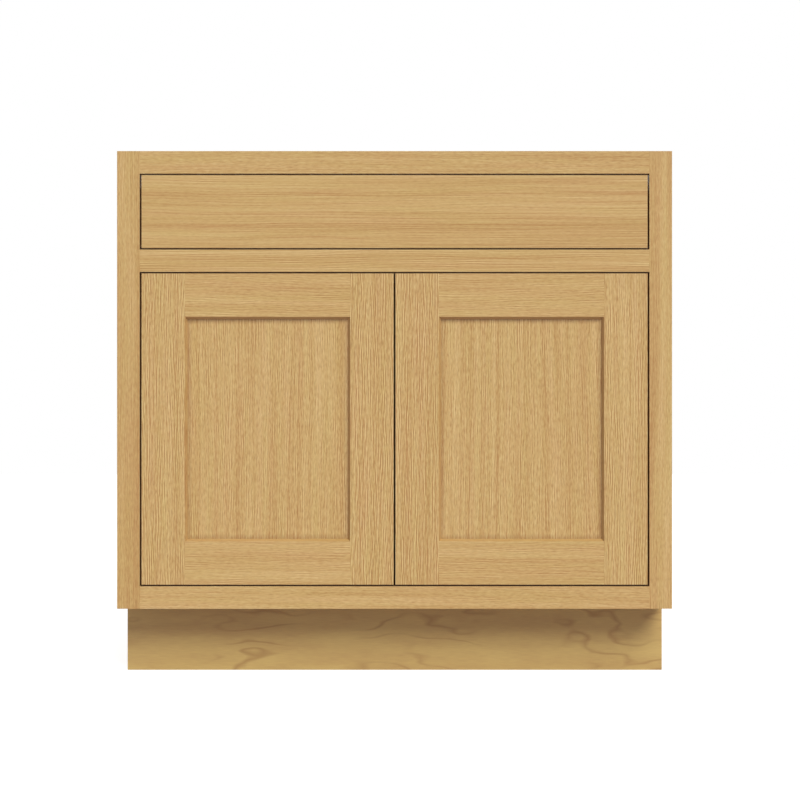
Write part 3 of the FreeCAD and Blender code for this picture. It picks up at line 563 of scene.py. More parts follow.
@dataclass(frozen=True)
class Moulding(Finish):
    """Moulded plastic or soft rubber with a fine texture."""

    colour: Colour
    shade: Colour
    roughness: tuple[float, float]
    cloud: Pattern = Pattern((90.0, 90.0, 90.0), detail=2.0, low=0.3, high=0.7)
    speckle: Triple = (2400.0, 2400.0, 2400.0)
    relief: float = 0.25
    depth: float = 0.05 * MM

    def paint(self, graph: Graph, shader: Node) -> None:
        """Feed the shader with a fine moulded texture.

        Args:
            graph: The material's graph.
            shader: Its Principled shader.
        """
        place = graph.add("TexCoord").outputs["Object"]
        speckle = graph.noise(place, self.speckle, detail=1.0).outputs[0]
        colour = graph.ramp(graph.pattern(place, self.cloud), self.shade, self.colour)
        roughness = graph.between(speckle, self.cloud.low, self.cloud.high, *self.roughness)
        graph.dress(shader, colour, roughness, graph.bump(speckle, self.relief, self.depth))


DOOR_OAK = Oak("door_oak")
# The panel's rim tint is painted shade in the corners of its recess.
PANEL_OAK = Oak("panel_oak", lines=0.56, rings=0.24, bands=0.42, rim_tint=(0.78, 0.74, 0.76, 1.0))
DOOR_RAIL_OAK = Oak("door_rail_oak", lines=0.38, flecks=0.4, bands=0.3, pores=0.22)
FRAME_OAK = Oak("frame_oak", lines=0.24, rings=0.24, flecks=0.47, bands=0.46, pores=0.28)
MIDDLE_RAIL_OAK = Oak("middle_rail_oak", lines=0.5, rings=0.3, flecks=0.26, bands=0.54, pores=0.15,
                      run=80 * MM)
LEFT_STILE_OAK = replace(FRAME_OAK, name="left_stile_oak",
                         streaks=((-2.5 * MM, 5 * MM, 0.13), (0.0, 60 * MM, 0.08)))
RIGHT_STILE_OAK = replace(FRAME_OAK, name="right_stile_oak", streaks=((-15 * MM, 9 * MM, 0.12),))
DRAWER_OAK = Oak("drawer_oak", lines=0.28, rings=0.32, flecks=0.26, bands=0.34, pores=0.18, run=80 * MM,
                 streaks=((29.5 * MM, 6 * MM, 0.14), (-28 * MM, 9.5 * MM, 0.15)))
TOE_VENEER = Veneer("toe_maple")
BOX_PLYWOOD = Veneer("box_plywood", light=srgb(201, 170, 109), middle=srgb(189, 156, 98), lines=0.4)
DRAWER_MAPLE = replace(FRAME_OAK, name="drawer_maple", light=srgb(214, 188, 138), middle=srgb(204, 175, 124),
                       dark=srgb(190, 160, 108), pore=srgb(182, 150, 100))
INNER_TIMBER = replace(FRAME_OAK, name="strip_timber", light=srgb(214, 184, 132), middle=srgb(202, 170, 116),
                       dark=srgb(184, 150, 98), pore=srgb(170, 136, 88))
NICKEL = Steel("nickel_plating")
ZINC = Steel("zinc_plating", colour=srgb(190, 192, 196), shadow=srgb(176, 178, 182), roughness=(0.28, 0.36))
CLIP_ORANGE = Moulding("orange_plastic", colour=srgb(196, 104, 44), shade=srgb(182, 94, 38),
                       roughness=(0.42, 0.58))
BUMPER_CLEAR = Moulding("clear_bumper", colour=srgb(226, 226, 222), shade=srgb(214, 214, 210),
                        roughness=(0.27, 0.43))


def clean_copy(node: str) -> BMesh:
    """Copy a node's mesh, merge its loose triangles and dissolve its flat faces into whole ones.

    Args:
        node: The node's name.

    Returns:
        A new bmesh.
    """
    mesh = bmesh.new()
    mesh.from_mesh(frame["nodes"][node].data)
    bmesh.ops.remove_doubles(mesh, verts=mesh.verts, dist=WELD)
    bmesh.ops.dissolve_limit(mesh, angle_limit=FLAT, verts=mesh.verts, edges=mesh.edges,
                             use_dissolve_boundaries=False)
    return mesh


def drop_slivers(mesh: BMesh) -> None:
    """Merge points that all but touch, and take out the faces that this leaves without an area."""
    bmesh.ops.remove_doubles(mesh, verts=mesh.verts, dist=WELD)
    bmesh.ops.dissolve_degenerate(mesh, edges=mesh.edges, dist=WELD)


def sharp_edges(mesh: BMesh, least: float) -> list[BMEdge]:
    """Find the edges between two faces that turn by more than the least angle."""
    return [edge for edge in mesh.edges if edge.is_manifold and edge.calc_face_angle() > least]


def round_over(mesh: BMesh, edges: list[BMEdge], reach: float, flats: int = 2) -> None:
    """Bevel some edges, by how far the round reaches from an edge and how many flats it has."""
    bmesh.ops.bevel(mesh, geom=edges, offset=reach, offset_type="OFFSET", affect="EDGES", segments=flats,
                    profile=0.5, material=-1, clamp_overlap=True, loop_slide=True)


def weigh_normals(data: bpy.types.Mesh, sharp: float = math.radians(50)) -> None:
    """Shade flats flat and rounds round: a corner's normal leans to the largest faces that meet there.

    Args:
        data: The mesh.
        sharp: The angle between faces from which an edge stays sharp.
    """
    near = [[] for _ in data.vertices]
    for face in data.polygons:
        for vertex in face.vertices:
            near[vertex].append((face.normal.copy(), face.area))
    limit = math.cos(sharp)
    normals = []
    for face in data.polygons:
        own = face.normal.copy()
        for vertex in face.vertices:
            total = sum((normal * area for normal, area in near[vertex] if normal.dot(own) > limit), Vector())
            normals.append(total.normalized() if total.length else own)
    data.shade_smooth()
    data.normals_split_custom_set(normals)


def mesh_data(mesh: BMesh, name: str) -> bpy.types.Mesh:
    """Turn a bmesh into mesh data and free it.

    Args:
        mesh: The bmesh.
        name: The data's name.

    Returns:
        The new mesh data.
    """
    data = bpy.data.meshes.new(name)
    mesh.to_mesh(data)
    mesh.free()
    return data


def placed_object(name: str, data: bpy.types.ID) -> Object:
    """Put an object with some data into the scene, at the origin.

    Args:
        name: The object's name.
        data: Its mesh, lamp or camera.

    Returns:
        The new object.
    """
    thing = bpy.data.objects.new(name, data)
    bpy.context.scene.collection.objects.link(thing)
    return thing


def finished_piece(mesh: BMesh, name: str, node: str, finish: Finish) -> Object:
    """Turn a bmesh into a piece that stands for a node and rides on its body.

    Args:
        mesh: The piece's bmesh, freed here.
        name: The piece's name.
        node: The node that it stands for.
        finish: Its finish.

    Returns:
        The new object.
    """
    data = mesh_data(mesh, name)
    weigh_normals(data)
    data.materials.append(finish.material())
    piece = placed_object(name, data)
    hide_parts(node)
    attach(piece, body_of(node))
    return piece


def solids_of(node: str) -> list[list[Vector]]:
    """Find the corners of each separate solid of a node.

    Args:
        node: The node's name.

    Returns:
        A list of corners for each solid.
    """
    mesh = clean_copy(node)
    seen = set()
    solids = []
    for start in mesh.verts:
        if start in seen:
            continue
        seen.add(start)
        reached = [start]
        for vert in reached:
            for edge in vert.link_edges:
                other = edge.other_vert(vert)
                if other not in seen:
                    seen.add(other)
                    reached.append(other)
        solids.append([vert.co.copy() for vert in reached])
    mesh.free()
    return solids


def box_of(points: list[Vector]) -> tuple[Vector, Vector]:
    """Return the low and high corners of some points."""
    spans = list(zip(*points))
    return Vector(tuple(min(span) for span in spans)), Vector(tuple(max(span) for span in spans))


def lathe(profile: list[tuple[float, float]], flats: int) -> BMesh:
    """Turn an outline about Z.

    Args:
        profile: The outline's points as radius and height, from one end to the other.
        flats: The number of flats round the turn.

    Returns:
        A new bmesh.
    """
    mesh = bmesh.new()
    verts = [mesh.verts.new((radius, 0.0, height)) for radius, height in profile]
    edges = [mesh.edges.new(pair) for pair in zip(verts, verts[1:])]
    bmesh.ops.spin(mesh, geom=verts + edges, cent=(0, 0, 0), axis=(0, 0, 1), angle=math.tau, steps=flats,
                   use_merge=True)
    bmesh.ops.remove_doubles(mesh, verts=mesh.verts, dist=POLE_WELD)
    bmesh.ops.recalc_face_normals(mesh, faces=mesh.faces)
    return mesh


def domed(radius: float, height: float, dome: float, steps: int = 6) -> list[tuple[float, float]]:
    """Outline a disc that stands on Z zero, with a domed top.

    Args:
        radius: The disc's radius.
        height: Its height in the middle.
        dome: How much of that height the dome takes.
        steps: The points along the dome.

    Returns:
        Points as radius and height, from the foot's middle to the top's.
    """
    turns = [i / steps * math.pi / 2 for i in range(steps)]
    arc = [(radius * math.cos(turn), height - dome + dome * math.sin(turn)) for turn in turns]
    return [(0.0, 0.0), (radius, 0.0), *arc, (0.0, height)]


def cross_cutter(reach: float, width: float, depth: float, top: float) -> BMesh:
    """Make the tapered cross that cuts a screw's recess.

    Args:
        reach: From the middle to the end of an arm.
        width: Across an arm.
        depth: From the top to the recess's floor.
        top: The height of the head's top.

    Returns:
        A new bmesh.
    """
    half = width / 2
    arm = [(reach, -half), (reach, half), (half, half)]
    outline = []
    for turn in range(4):
        spin = Matrix.Rotation(turn * math.pi / 2, 2)
        outline += [spin @ Vector(point) for point in arm]
    overrun, wide, taper = depth / 4, 1.1, 0.5
    mesh = bmesh.new()
    rim = [mesh.verts.new((point.x * wide, point.y * wide, top + overrun)) for point in outline]
    made = bmesh.ops.extrude_face_region(mesh, geom=[mesh.faces.new(rim)])["geom"]
    floor = [item for item in made if isinstance(item, BMVert)]
    bmesh.ops.translate(mesh, verts=floor, vec=(0.0, 0.0, -depth - overrun))
    bmesh.ops.scale(mesh, verts=floor, vec=(taper, taper, 1.0))
    bmesh.ops.recalc_face_normals(mesh, faces=mesh.faces)
    return mesh


def carved(solid: BMesh, cutter: BMesh) -> BMesh:
    """Cut one solid out of another and free both.

    Args:
        solid: The solid that stays.
        cutter: The solid that is cut away.

    Returns:
        A new bmesh.
    """
    host, tool = (placed_object("carving", mesh_data(mesh, "carving")) for mesh in (solid, cutter))
    modifier = host.modifiers.new("cut", "BOOLEAN")
    modifier.operation = "DIFFERENCE"
    modifier.solver = "EXACT"
    modifier.object = tool
    evaluated = host.evaluated_get(bpy.context.evaluated_depsgraph_get())
    result = bmesh.new()
    result.from_mesh(evaluated.to_mesh())
    evaluated.to_mesh_clear()
    drop_slivers(result)
    for thing in (host, tool):
        data = thing.data
        bpy.data.objects.remove(thing)
        bpy.data.meshes.remove(data)
    return result


def copy_to(target: BMesh, template: BMesh, spot: Vector, upwards: Vector) -> None:
    """Copy a template into a mesh, moved to a spot with its Z turned upwards.

    Args:
        target: The mesh that takes the copy.
        template: The mesh that is copied.
        spot: Where the template's origin comes.
        upwards: Where its Z points.
    """
    data = bpy.data.meshes.new("copy")
    template.to_mesh(data)
    data.transform(Matrix.Translation(spot) @ upwards.to_track_quat("Z", "Y").to_matrix().to_4x4())
    target.from_mesh(data)
    bpy.data.meshes.remove(data)


@dataclass(frozen=True)
class Rim:
    """A border of painted shade along a rectangle of the front, inside it or outside: the shade of a gap or
    of a panel's recess, painted into the wood's colour.
    """

    left: float
    right: float
    low: float
    high: float
    front: float
    outwards: bool
    beside: float = 0.6 * MM
    above: float = 1.1 * MM
    deep: float = 1.0 * MM
    steps: tuple[float, ...] = (0.5, 0.75, 1.0)
    near: float = 0.001 * MM

    @property
    def side(self) -> int:
        """1 where the wood lies outside the rectangle, -1 where it lies inside."""
        return 1 if self.outwards else -1

    def cut(self, mesh: BMesh) -> None:
        """Cut a board's faces where the painted shade starts and ends.

        Args:
            mesh: The board's bmesh.
        """
        planes = [(Axis.Y, self.front + self.deep * step) for step in self.steps]
        for reach in (0, self.side):
            planes += [(Axis.X, self.left - reach * self.beside), (Axis.X, self.right + reach * self.beside)]
            planes += [(Axis.Z, self.low - reach * self.above), (Axis.Z, self.high + reach * self.above)]
        for axis, place in planes:
            bmesh.ops.bisect_plane(mesh, geom=mesh.verts[:] + mesh.edges[:] + mesh.faces[:], dist=self.near,
                                   plane_co=axis.vector * place, plane_no=axis.vector)

    def share(self, point: Vector) -> float:
        """Say how much painted shade a point takes.

        Args:
            point: A point of the board.

        Returns:
            1 on the rectangle's line at the front, falling to 0 where the painted shade ends.
        """
        across = max(self.left - point.x, point.x - self.right) * self.side / self.beside
        level = max(self.low - point.z, point.z - self.high) * self.side / self.above
        away = max(across, level) if self.outwards else min(across, level)
        depth = (point.y - self.front) / self.deep
        return min(max(1 - away, 0.0), 1.0) * max(1 - depth * depth, 0.0)


@dataclass
class Board:
    """A wooden board with eased edges, which knows which way its grain runs.

    How squarely a face must look along an axis, to count as facing that way, is given as a cosine. An edge
    that is banded with veneer is given as its axis and which way it faces.
    """

    node: str
    along: Axis
    through: Axis
    finish: Finish
    ease: float
    crisp: float = math.radians(25)
    banded: tuple[Axis, int] | None = None
    rims: tuple[Rim, ...] = ()
    band_facing: float = 0.9
    end_facing: float = 0.8
    face_facing: float = 0.95
    mould_facing: float = 0.2

    def build(self) -> Object:
        """Build the board from its node's shape.

        Returns:
            The new object.
        """
        mesh = clean_copy(self.node)
        self.mark(mesh)
        round_over(mesh, sharp_edges(mesh, self.crisp), self.ease)
        self.darken_rims(mesh)
        self.place_grain(mesh)
        return finished_piece(mesh, self.node + "_wood", self.node, self.finish)

    def mark(self, mesh: BMesh) -> None:
        """Keep in a mask for each kind of surface which faces are of that kind.

        Args:
            mesh: The board's bmesh before its edges are eased.
        """
        layers = {kind: mesh.faces.layers.float.new(kind.value) for kind in Surface}
        for face in mesh.faces:
            face[layers[self.surface(face.normal)]] = 1.0

    def surface(self, normal: Vector) -> Surface:
        """Say what a face shows of the wood.

        Args:
            normal: The face's normal.

        Returns:
            The kind of surface.
        """
        along, through = abs(normal[self.along.value]), abs(normal[self.through.value])
        if self.banded and normal[self.banded[0].value] * self.banded[1] > self.band_facing:
            return Surface.FACE
        if along > self.end_facing:
            return Surface.END
        if through > self.face_facing:
            return Surface.FACE
        return Surface.MOULD if through > self.mould_facing else Surface.EDGE

    def darken_rims(self, mesh: BMesh) -> None:
        """Store how much painted shade each point takes along the borders of gaps and recesses.

        Args:
            mesh: The board's bmesh after its edges are eased.
        """
        for rim in self.rims:
            rim.cut(mesh)
        if self.rims:
            # The rim attribute holds painted shade, which the oak's material reads.
            layer = mesh.verts.layers.float.new("rim")
            for vert in mesh.verts:
                vert[layer] = max(rim.share(vert.co) for rim in self.rims)

    def place_grain(self, mesh: BMesh) -> None:
        """Store each point's place in the board, in metres.

        It is taken across from the board's middle, through from its lower face, and along from a start of the
        board's own.

        Args:
            mesh: The board's bmesh.
        """
        across = next(axis for axis in Axis if axis not in (self.along, self.through))
        low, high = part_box(self.node)
        middle = (low[across.value] + high[across.value]) / 2
        start = random.Random(self.node).uniform(2, 90)
        shift = Vector((-middle, -low[self.through.value], start))
        layer = mesh.verts.layers.float_vector.new("board")
        for vert in mesh.verts:
            place = Vector((vert.co[across.value], vert.co[self.through.value], vert.co[self.along.value]))
            vert[layer] = place + shift


@dataclass
class FaceFrame:
    """The front frame: two stiles and three rails in oak, joined flush."""

    ease: float = 0.15 * MM
    # How wide and how deep the painted shade reaches round the openings, standing in for the dark gaps.
    rim_width: float = 0.75 * MM
    rim_depth: float = 6.0 * MM

    def build(self) -> list[Object]:
        """Build the frame's five boards.

        Returns:
            The new objects.
        """
        finishes = {"stile_left": LEFT_STILE_OAK, "stile_right": RIGHT_STILE_OAK, "rail_top": FRAME_OAK,
                    "rail_middle": MIDDLE_RAIL_OAK, "rail_bottom": FRAME_OAK}
        # Painted shade round both openings, standing in for the dark gaps.
        rims = (self.opening("rail_middle", "rail_top"), self.opening("rail_bottom", "rail_middle"))
        pieces = []
        for member, finish in finishes.items():
            along = Axis.Z if member.startswith("stile") else Axis.X
            pieces.append(Board(f"frame_{member}", along, Axis.Y, finish, self.ease, rims=rims).build())
        return pieces

    def opening(self, below: str, above: str) -> Rim:
        """Find the border of painted shade round the opening between two rails.

        Args:
            below: The rail under the opening.
            above: The rail over it.

        Returns:
            The opening's border of painted shade.
        """
        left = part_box("frame_stile_left")[1]
        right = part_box("frame_stile_right")[0]
        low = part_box(f"frame_{below}")[1].z
        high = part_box(f"frame_{above}")[0].z
        return Rim(left.x, right.x, low, high, right.y, outwards=True, beside=self.rim_width,
                   deep=self.rim_depth)


def outer_rim(nodes: list[str]) -> Rim:
    """Find the border of painted shade round an inset front that several nodes make together."""
    low, high = box_of([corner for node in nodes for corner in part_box(node)])
    return Rim(low.x, high.x, low.z, high.z, low.y, outwards=False)


@dataclass
class Door:
    """One inset door: stiles, rails and a recessed panel."""

    side: Side
    ease: float = 0.12 * MM
    # How far the painted shade reaches into the panel from its edges.
    shade: float = 9 * MM

    def build(self) -> list[Object]:
        """Build the door's five boards.

        Returns:
            The new objects.
        """
        members = {"hinge_stile": DOOR_OAK, "free_stile": DOOR_OAK, "top_rail": DOOR_RAIL_OAK,
                   "bottom_rail": DOOR_RAIL_OAK}
        nodes = [f"door_{self.side.word}_{member}" for member in members]
        # A border of painted shade round the door, standing in for the dark gap.
        rim = outer_rim(nodes)
        pieces = []
        for node, finish in zip(nodes, members.values()):
            along = Axis.Z if node.endswith("stile") else Axis.X
            pieces.append(Board(node, along, Axis.Y, finish, self.ease, rims=(rim,)).build())
        panel = f"door_{self.side.word}_panel"
        shade = self.panel_rim(nodes, panel)
        pieces.append(Board(panel, Axis.Z, Axis.Y, PANEL_OAK, self.ease, rims=(shade,)).build())
        return pieces

    def panel_rim(self, members: list[str], panel: str) -> Rim:
        """Find where the panel meets the members round it, where shade is painted on the panel.

        Args:
            members: The nodes of the two stiles, the top rail and the bottom rail.
            panel: The panel's node.

        Returns:
            The border of painted shade round the panel's open part.
        """
        stiles = sorted((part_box(node) for node in members[:2]), key=lambda box: box[0].x)
        top, bottom = (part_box(node) for node in members[2:])
        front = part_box(panel)[0].y
        return Rim(stiles[0][1].x, stiles[1][0].x, bottom[1].z, top[0].z, front, outwards=False,
                   beside=self.shade, above=self.shade, deep=self.shade)


@dataclass
class Carcass:
    """The plywood box, its strips, nailers and braces, and the toe space."""

    ease: float = 0.3 * MM

    def build(self) -> list[Object]:
        """Build the box's boards.

        Returns:
            The new objects.
        """
        boards = {
            "bottom_panel": (Axis.X, Axis.Z, BOX_PLYWOOD),
            "back_panel": (Axis.X, Axis.Y, BOX_PLYWOOD),
            "back_nailers": (Axis.X, Axis.Y, INNER_TIMBER),
            "corner_braces": (Axis.X, Axis.Z, BOX_PLYWOOD),
            "toe_kick_base": (Axis.X, Axis.Y, BOX_PLYWOOD),
            "toe_kick_skin": (Axis.X, Axis.Y, TOE_VENEER),
            "door_stop": (Axis.X, Axis.Y, INNER_TIMBER),
            "shelf": (Axis.X, Axis.Z, BOX_PLYWOOD),
        }
        for side in Side:
            boards[f"side_panel_{side.word}"] = (Axis.Z, Axis.X, BOX_PLYWOOD)
            boards[f"hinge_strip_{side.word}"] = (Axis.Z, Axis.X, INNER_TIMBER)
            boards[f"runner_strip_{side.word}"] = (Axis.Y, Axis.X, INNER_TIMBER)
        pieces = []
        for node, cut in boards.items():
            banded = (Axis.Y, -1) if node == "shelf" else None
            pieces.append(Board(node, *cut, self.ease, banded=banded).build())
        return pieces


@dataclass
class Drawer:
    """The slab front and the dovetailed drawer box."""

    ease: float = 0.3 * MM
    front_ease: float = 0.12 * MM

    def build(self) -> list[Object]:
        """Build the drawer's boards.

        Returns:
            The new objects.
        """
        # A border of painted shade round the drawer front, standing in for the dark gap.
        rim = outer_rim(["drawer_front"])
        boards = [
            Board("drawer_front", Axis.X, Axis.Y, DRAWER_OAK, self.front_ease, rims=(rim,)),
            Board("drawer_box_front", Axis.X, Axis.Y, DRAWER_MAPLE, self.ease),
            Board("drawer_box_back", Axis.X, Axis.Y, DRAWER_MAPLE, self.ease),
            Board("drawer_bottom", Axis.X, Axis.Z, BOX_PLYWOOD, self.ease),
        ]
        for side in Side:
            boards.append(Board(f"drawer_side_{side.word}", Axis.Y, Axis.X, DRAWER_MAPLE, self.ease))
        return [board.build() for board in boards]


@dataclass
class Pressing:
    """A pressed metal or moulded piece: its few-sided rounds are made round and its edges are eased."""

    node: str
    finish: Finish
    ease: float = 0.15 * MM
    sides: tuple[int, ...] = (8, 12)
    share: float = 0.48
    slack: float = math.radians(1.5)
    crisp: float = math.radians(35)

    def build(self) -> Object:
        """Build the piece from its node's shape.

        Returns:
            The new object.
        """
        mesh = clean_copy(self.node)
        for sides in self.sides:
            self.round_off(mesh, math.tau / sides)
        round_over(mesh, sharp_edges(mesh, self.crisp), self.ease)
        drop_slivers(mesh)
        return finished_piece(mesh, self.node + "_metal", self.node, self.finish)

    def round_off(self, mesh: BMesh, turn: float) -> None:
        """Bevel the long edges of a few-sided round until its flats all but vanish.

        Args:
            mesh: The piece's bmesh.
            turn: The angle between two neighbouring flats.
        """
        widths = {self.flat_width(edge) for edge in self.round_edges(mesh, turn)}
        for width in sorted(widths):
            edges = [edge for edge in self.round_edges(mesh, turn) if self.flat_width(edge) == width]
            round_over(mesh, edges, width * self.share, flats=3)

    def round_edges(self, mesh: BMesh, turn: float) -> list[BMEdge]:
        """Find the edges between two flats of a few-sided round."""
        convex = (edge for edge in mesh.edges if edge.is_manifold and edge.is_convex)
        return [edge for edge in convex if abs(edge.calc_face_angle() - turn) < self.slack]

    def flat_width(self, edge: BMEdge) -> float:
        """Measure the narrower of the two flats beside an edge, to a hundredth of a millimetre."""
        return round(min(face.calc_area() for face in edge.link_faces) / edge.calc_length(), 5)


@dataclass
class Screws:
    """All the screws of a node, with domed heads, cross recesses and threaded shanks.

    The fields after the flats are shares: of the thread's pitch, of the shank's or the head's radius, and of
    the head's thickness. A corner belongs to the head past the rim's share of the widest reach, and to the
    shank past the core's.
    """

    node: str
    axis: Axis
    pitch: float = 1.4 * MM
    thread_depth: float = 0.35 * MM
    flats: int = 28
    crest: float = 0.4
    valley: float = 0.8
    tip: float = 1.6
    underside: float = 0.96
    dome: float = 0.7
    recess_reach: float = 0.52
    recess_width: float = 0.26
    recess_depth: float = 0.8
    rim: float = 0.9
    core: float = 0.1

    def build(self) -> Object:
        """Build the screws where the node's own solids stand.

        Returns:
            The new object.
        """
        mesh = bmesh.new()
        templates = {}
        for points in solids_of(self.node):
            upwards, sizes = self.measure(points)
            if sizes not in templates:
                templates[sizes] = self.screw(*sizes)
            low, high = box_of(points)
            copy_to(mesh, templates[sizes], (low + high) / 2 + upwards * sizes[0] / 2, upwards)
        for template in templates.values():
            template.free()
        return finished_piece(mesh, self.node + "_turned", self.node, ZINC)

    def measure(self, points: list[Vector]) -> tuple[Vector, tuple[float, ...]]:
        """Measure one screw of the node.

        Args:
            points: Its corners.

        Returns:
            Where its head points, and its length, the head's radius and thickness, and the shank's radius.
        """
        low, high = box_of(points)
        along = self.axis.value
        middle = (low + high) / 2
        reach = {}
        for point in points:
            off = point - middle
            off[along] = 0.0
            reach[tuple(point)] = off.length
        widest = max(reach.values())
        heights = [point[along] for point in points if reach[tuple(point)] > self.rim * widest]
        shank = min(radius for radius in reach.values() if radius > self.core * widest)
        outwards = 1.0 if max(heights) > middle[along] else -1.0
        head = min(high[i] - low[i] for i in range(3)) / 2
        sizes = (high[along] - low[along], head, max(heights) - min(heights), shank)
        return self.axis.vector * outwards, tuple(round(size, 5) for size in sizes)

    def screw(self, length: float, head: float, thickness: float, shank: float) -> BMesh:
        """Make one screw with its top at the origin, pointing up.

        Args:
            length: Its whole length.
            head: The head's radius.
            thickness: The head's thickness.
            shank: The shank's radius.

        Returns:
            A new bmesh.
        """
        root = shank - self.thread_depth
        tip = self.tip * shank
        profile = [(0.0, -length)]
        for i in range(int((length - thickness - tip) / self.pitch)):
            height = -length + tip + i * self.pitch
            profile += [(root, height), (shank, height + self.pitch * self.crest),
                        (root, height + self.pitch * self.valley)]
        profile += [(root, -thickness), (head * self.underside, -thickness)]
        dome = domed(head, thickness, thickness * self.dome)[2:]
        profile += [(radius, height - thickness) for radius, height in dome]
        recess = cross_cutter(head * self.recess_reach, head * self.recess_width,
                              thickness * self.recess_depth, 0.0)
        return carved(lathe(profile, self.flats), recess)


@dataclass
class ShelfPins:
    """The shelf's four round pins, each with a domed end and a groove beside the wall."""

    node: str = "shelf_pins"
    dome: float = 1.2 * MM
    groove: float = 0.35 * MM
    groove_place: float = 8.0 * MM
    flats: int = 28

    def build(self) -> Object:
        """Build the pins where the node's own solids stand.

        Returns:
            The new object.
        """
        mesh = bmesh.new()
        for points in solids_of(self.node):
            low, high = box_of(points)
            middle = (low + high) / 2
            inwards = Axis.X.vector * (-1.0 if middle.x > 0 else 1.0)
            length = high.x - low.x
            template = self.pin(length, (high.z - low.z) / 2)
            copy_to(mesh, template, middle - inwards * length / 2, inwards)
            template.free()
        return finished_piece(mesh, self.node + "_turned", self.node, NICKEL)

    def pin(self, length: float, radius: float) -> BMesh:
        """Make one pin that stands on the origin.

        Args:
            length: The pin's length.
            radius: Its radius.

        Returns:
            A new bmesh.
        """
        outline = domed(radius, length, self.dome)
        place, cut = length - self.groove_place, radius - self.groove
        notch = [(radius, place - self.groove), (cut, place), (cut, place + self.groove),
                 (radius, place + 2 * self.groove)]
        return lathe(outline[:2] + notch + outline[2:], self.flats)


@dataclass
class Bumper:
    """A door's soft bumper: a clear dome on a flat foot."""

    side: Side
    dome_share: float = 0.75
    flats: int = 36

    def build(self) -> Object:
        """Build the bumper in its node's box.

        Returns:
            The new object.
        """
        node = f"door_{self.side.word}_bumper"
        low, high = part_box(node)
        foot = Vector(((low.x + high.x) / 2, low.y, (low.z + high.z) / 2))
        thickness = high.y - low.y
        template = lathe(domed((high.x - low.x) / 2, thickness, thickness * self.dome_share), self.flats)
        mesh = bmesh.new()
        copy_to(mesh, template, foot, Axis.Y.vector)
        template.free()
        return finished_piece(mesh, node + "_dome", node, BUMPER_CLEAR)


@dataclass
class Hinges:
    """One door's two concealed hinges: cups, links, arms and their adjusting screws."""

    side: Side
    head: float = 3.2 * MM
    proud: float = 0.9 * MM
    sunk: float = 0.5 * MM
    dome: float = 0.5 * MM
    recess: float = 0.8 * MM
    recess_reach: float = 0.6
    recess_width: float = 0.26
    from_tail: tuple[float, ...] = (8.0 * MM, 19.0 * MM)
    flats: int = 32

    def build(self) -> list[Object]:
        """Build the hinges' pieces.

        Returns:
            The new objects.
        """
        parts = ("hinge_cups", "hinge_inner_links", "hinge_outer_links", "hinge_arms")
        pieces = [Pressing(f"{part}_{self.side.word}", NICKEL).build() for part in parts]
        screws = Screws(f"hinge_cup_screws_{self.side.word}", Axis.Y)
        return pieces + [self.adjusting_screws(), screws.build()]

    def adjusting_screws(self) -> Object:
        """Set two low screws into the rear stretch of each arm.

        Returns:
            The new object.
        """
        node = f"hinge_arms_{self.side.word}"
        inwards = Axis.X.vector * -self.side.value
        dome = lathe(domed(self.head, self.proud + self.sunk, self.dome), self.flats)
        recess = cross_cutter(self.head * self.recess_reach, self.head * self.recess_width, self.recess,
                              self.proud + self.sunk)
        template = carved(dome, recess)
        mesh = bmesh.new()
        for points in solids_of(node):
            low, high = box_of(points)
            rear = [point.x for point in points if point.y > high.y - 2 * self.head]
            edge = min(rear, key=abs)
            for back in self.from_tail:
                spot = Vector((edge, high.y - back, (low.z + high.z) / 2)) - inwards * self.sunk
                copy_to(mesh, template, spot, inwards)
        template.free()
        return finished_piece(mesh, node + "_adjusters", node, ZINC)


@dataclass
class Runners:
    """The drawer's two telescopic runners, their roller carriages and the front clips."""

    ease: float = 0.3 * MM

    def build(self) -> list[Object]:
        """Build the runners' pieces.

        Returns:
            The new objects.
        """
        pressings = []
        for side in Side:
            for member in ("cabinet", "middle", "drawer"):
                pressings.append(Pressing(f"runner_{member}_{side.word}", NICKEL, self.ease, sides=()))
        for level in ("lower", "upper"):
            pressings.append(Pressing(f"roller_carriages_{level}", NICKEL, sides=(12,)))
        pressings.append(Pressing("runner_clips", CLIP_ORANGE, self.ease, sides=()))
        return [pressing.build() for pressing in pressings]


@dataclass
class Fastenings:
    """The screws of plates, runners and drawer front, the hinge plates, the shelf's pins and the bumpers."""

    plate_ease: float = 0.4 * MM

    def build(self) -> list[Object]:
        """Build the fastenings.

        Returns:
            The new objects.
        """
        kinds = [Screws("mounting_screws", Axis.X), Screws("drawer_front_screws", Axis.Y),
                 Pressing("hinge_plates", NICKEL, self.plate_ease, sides=()), ShelfPins()]
        return [kind.build() for kind in (*kinds, *(Bumper(side) for side in Side))]


@dataclass(frozen=True)
class Lamp:
    """A broad and distant lamp.

    Its height and how far round it stands are in degrees, seen from the cabinet's front, and its softness is
    how many degrees wide it looks.
    """

    name: str
    strength: float
    height: float
    aside: float
    softness: float
    tint: Triple = (1.0, 1.0, 1.0)

    def hang(self) -> None:
        """Hang the lamp where it stands, pointing at the cabinet."""
        data = bpy.data.lights.new(self.name, "SUN")
        data.energy = self.strength
        data.angle = math.radians(self.softness)
        data.color = self.tint
        height, aside = math.radians(self.height), math.radians(self.aside)
        level = math.cos(height)
        source = Vector((math.sin(aside) * level, -math.cos(aside) * level, math.sin(height)))
        placed_object(self.name, data).rotation_euler = source.to_track_quat("Z", "Y").to_euler()


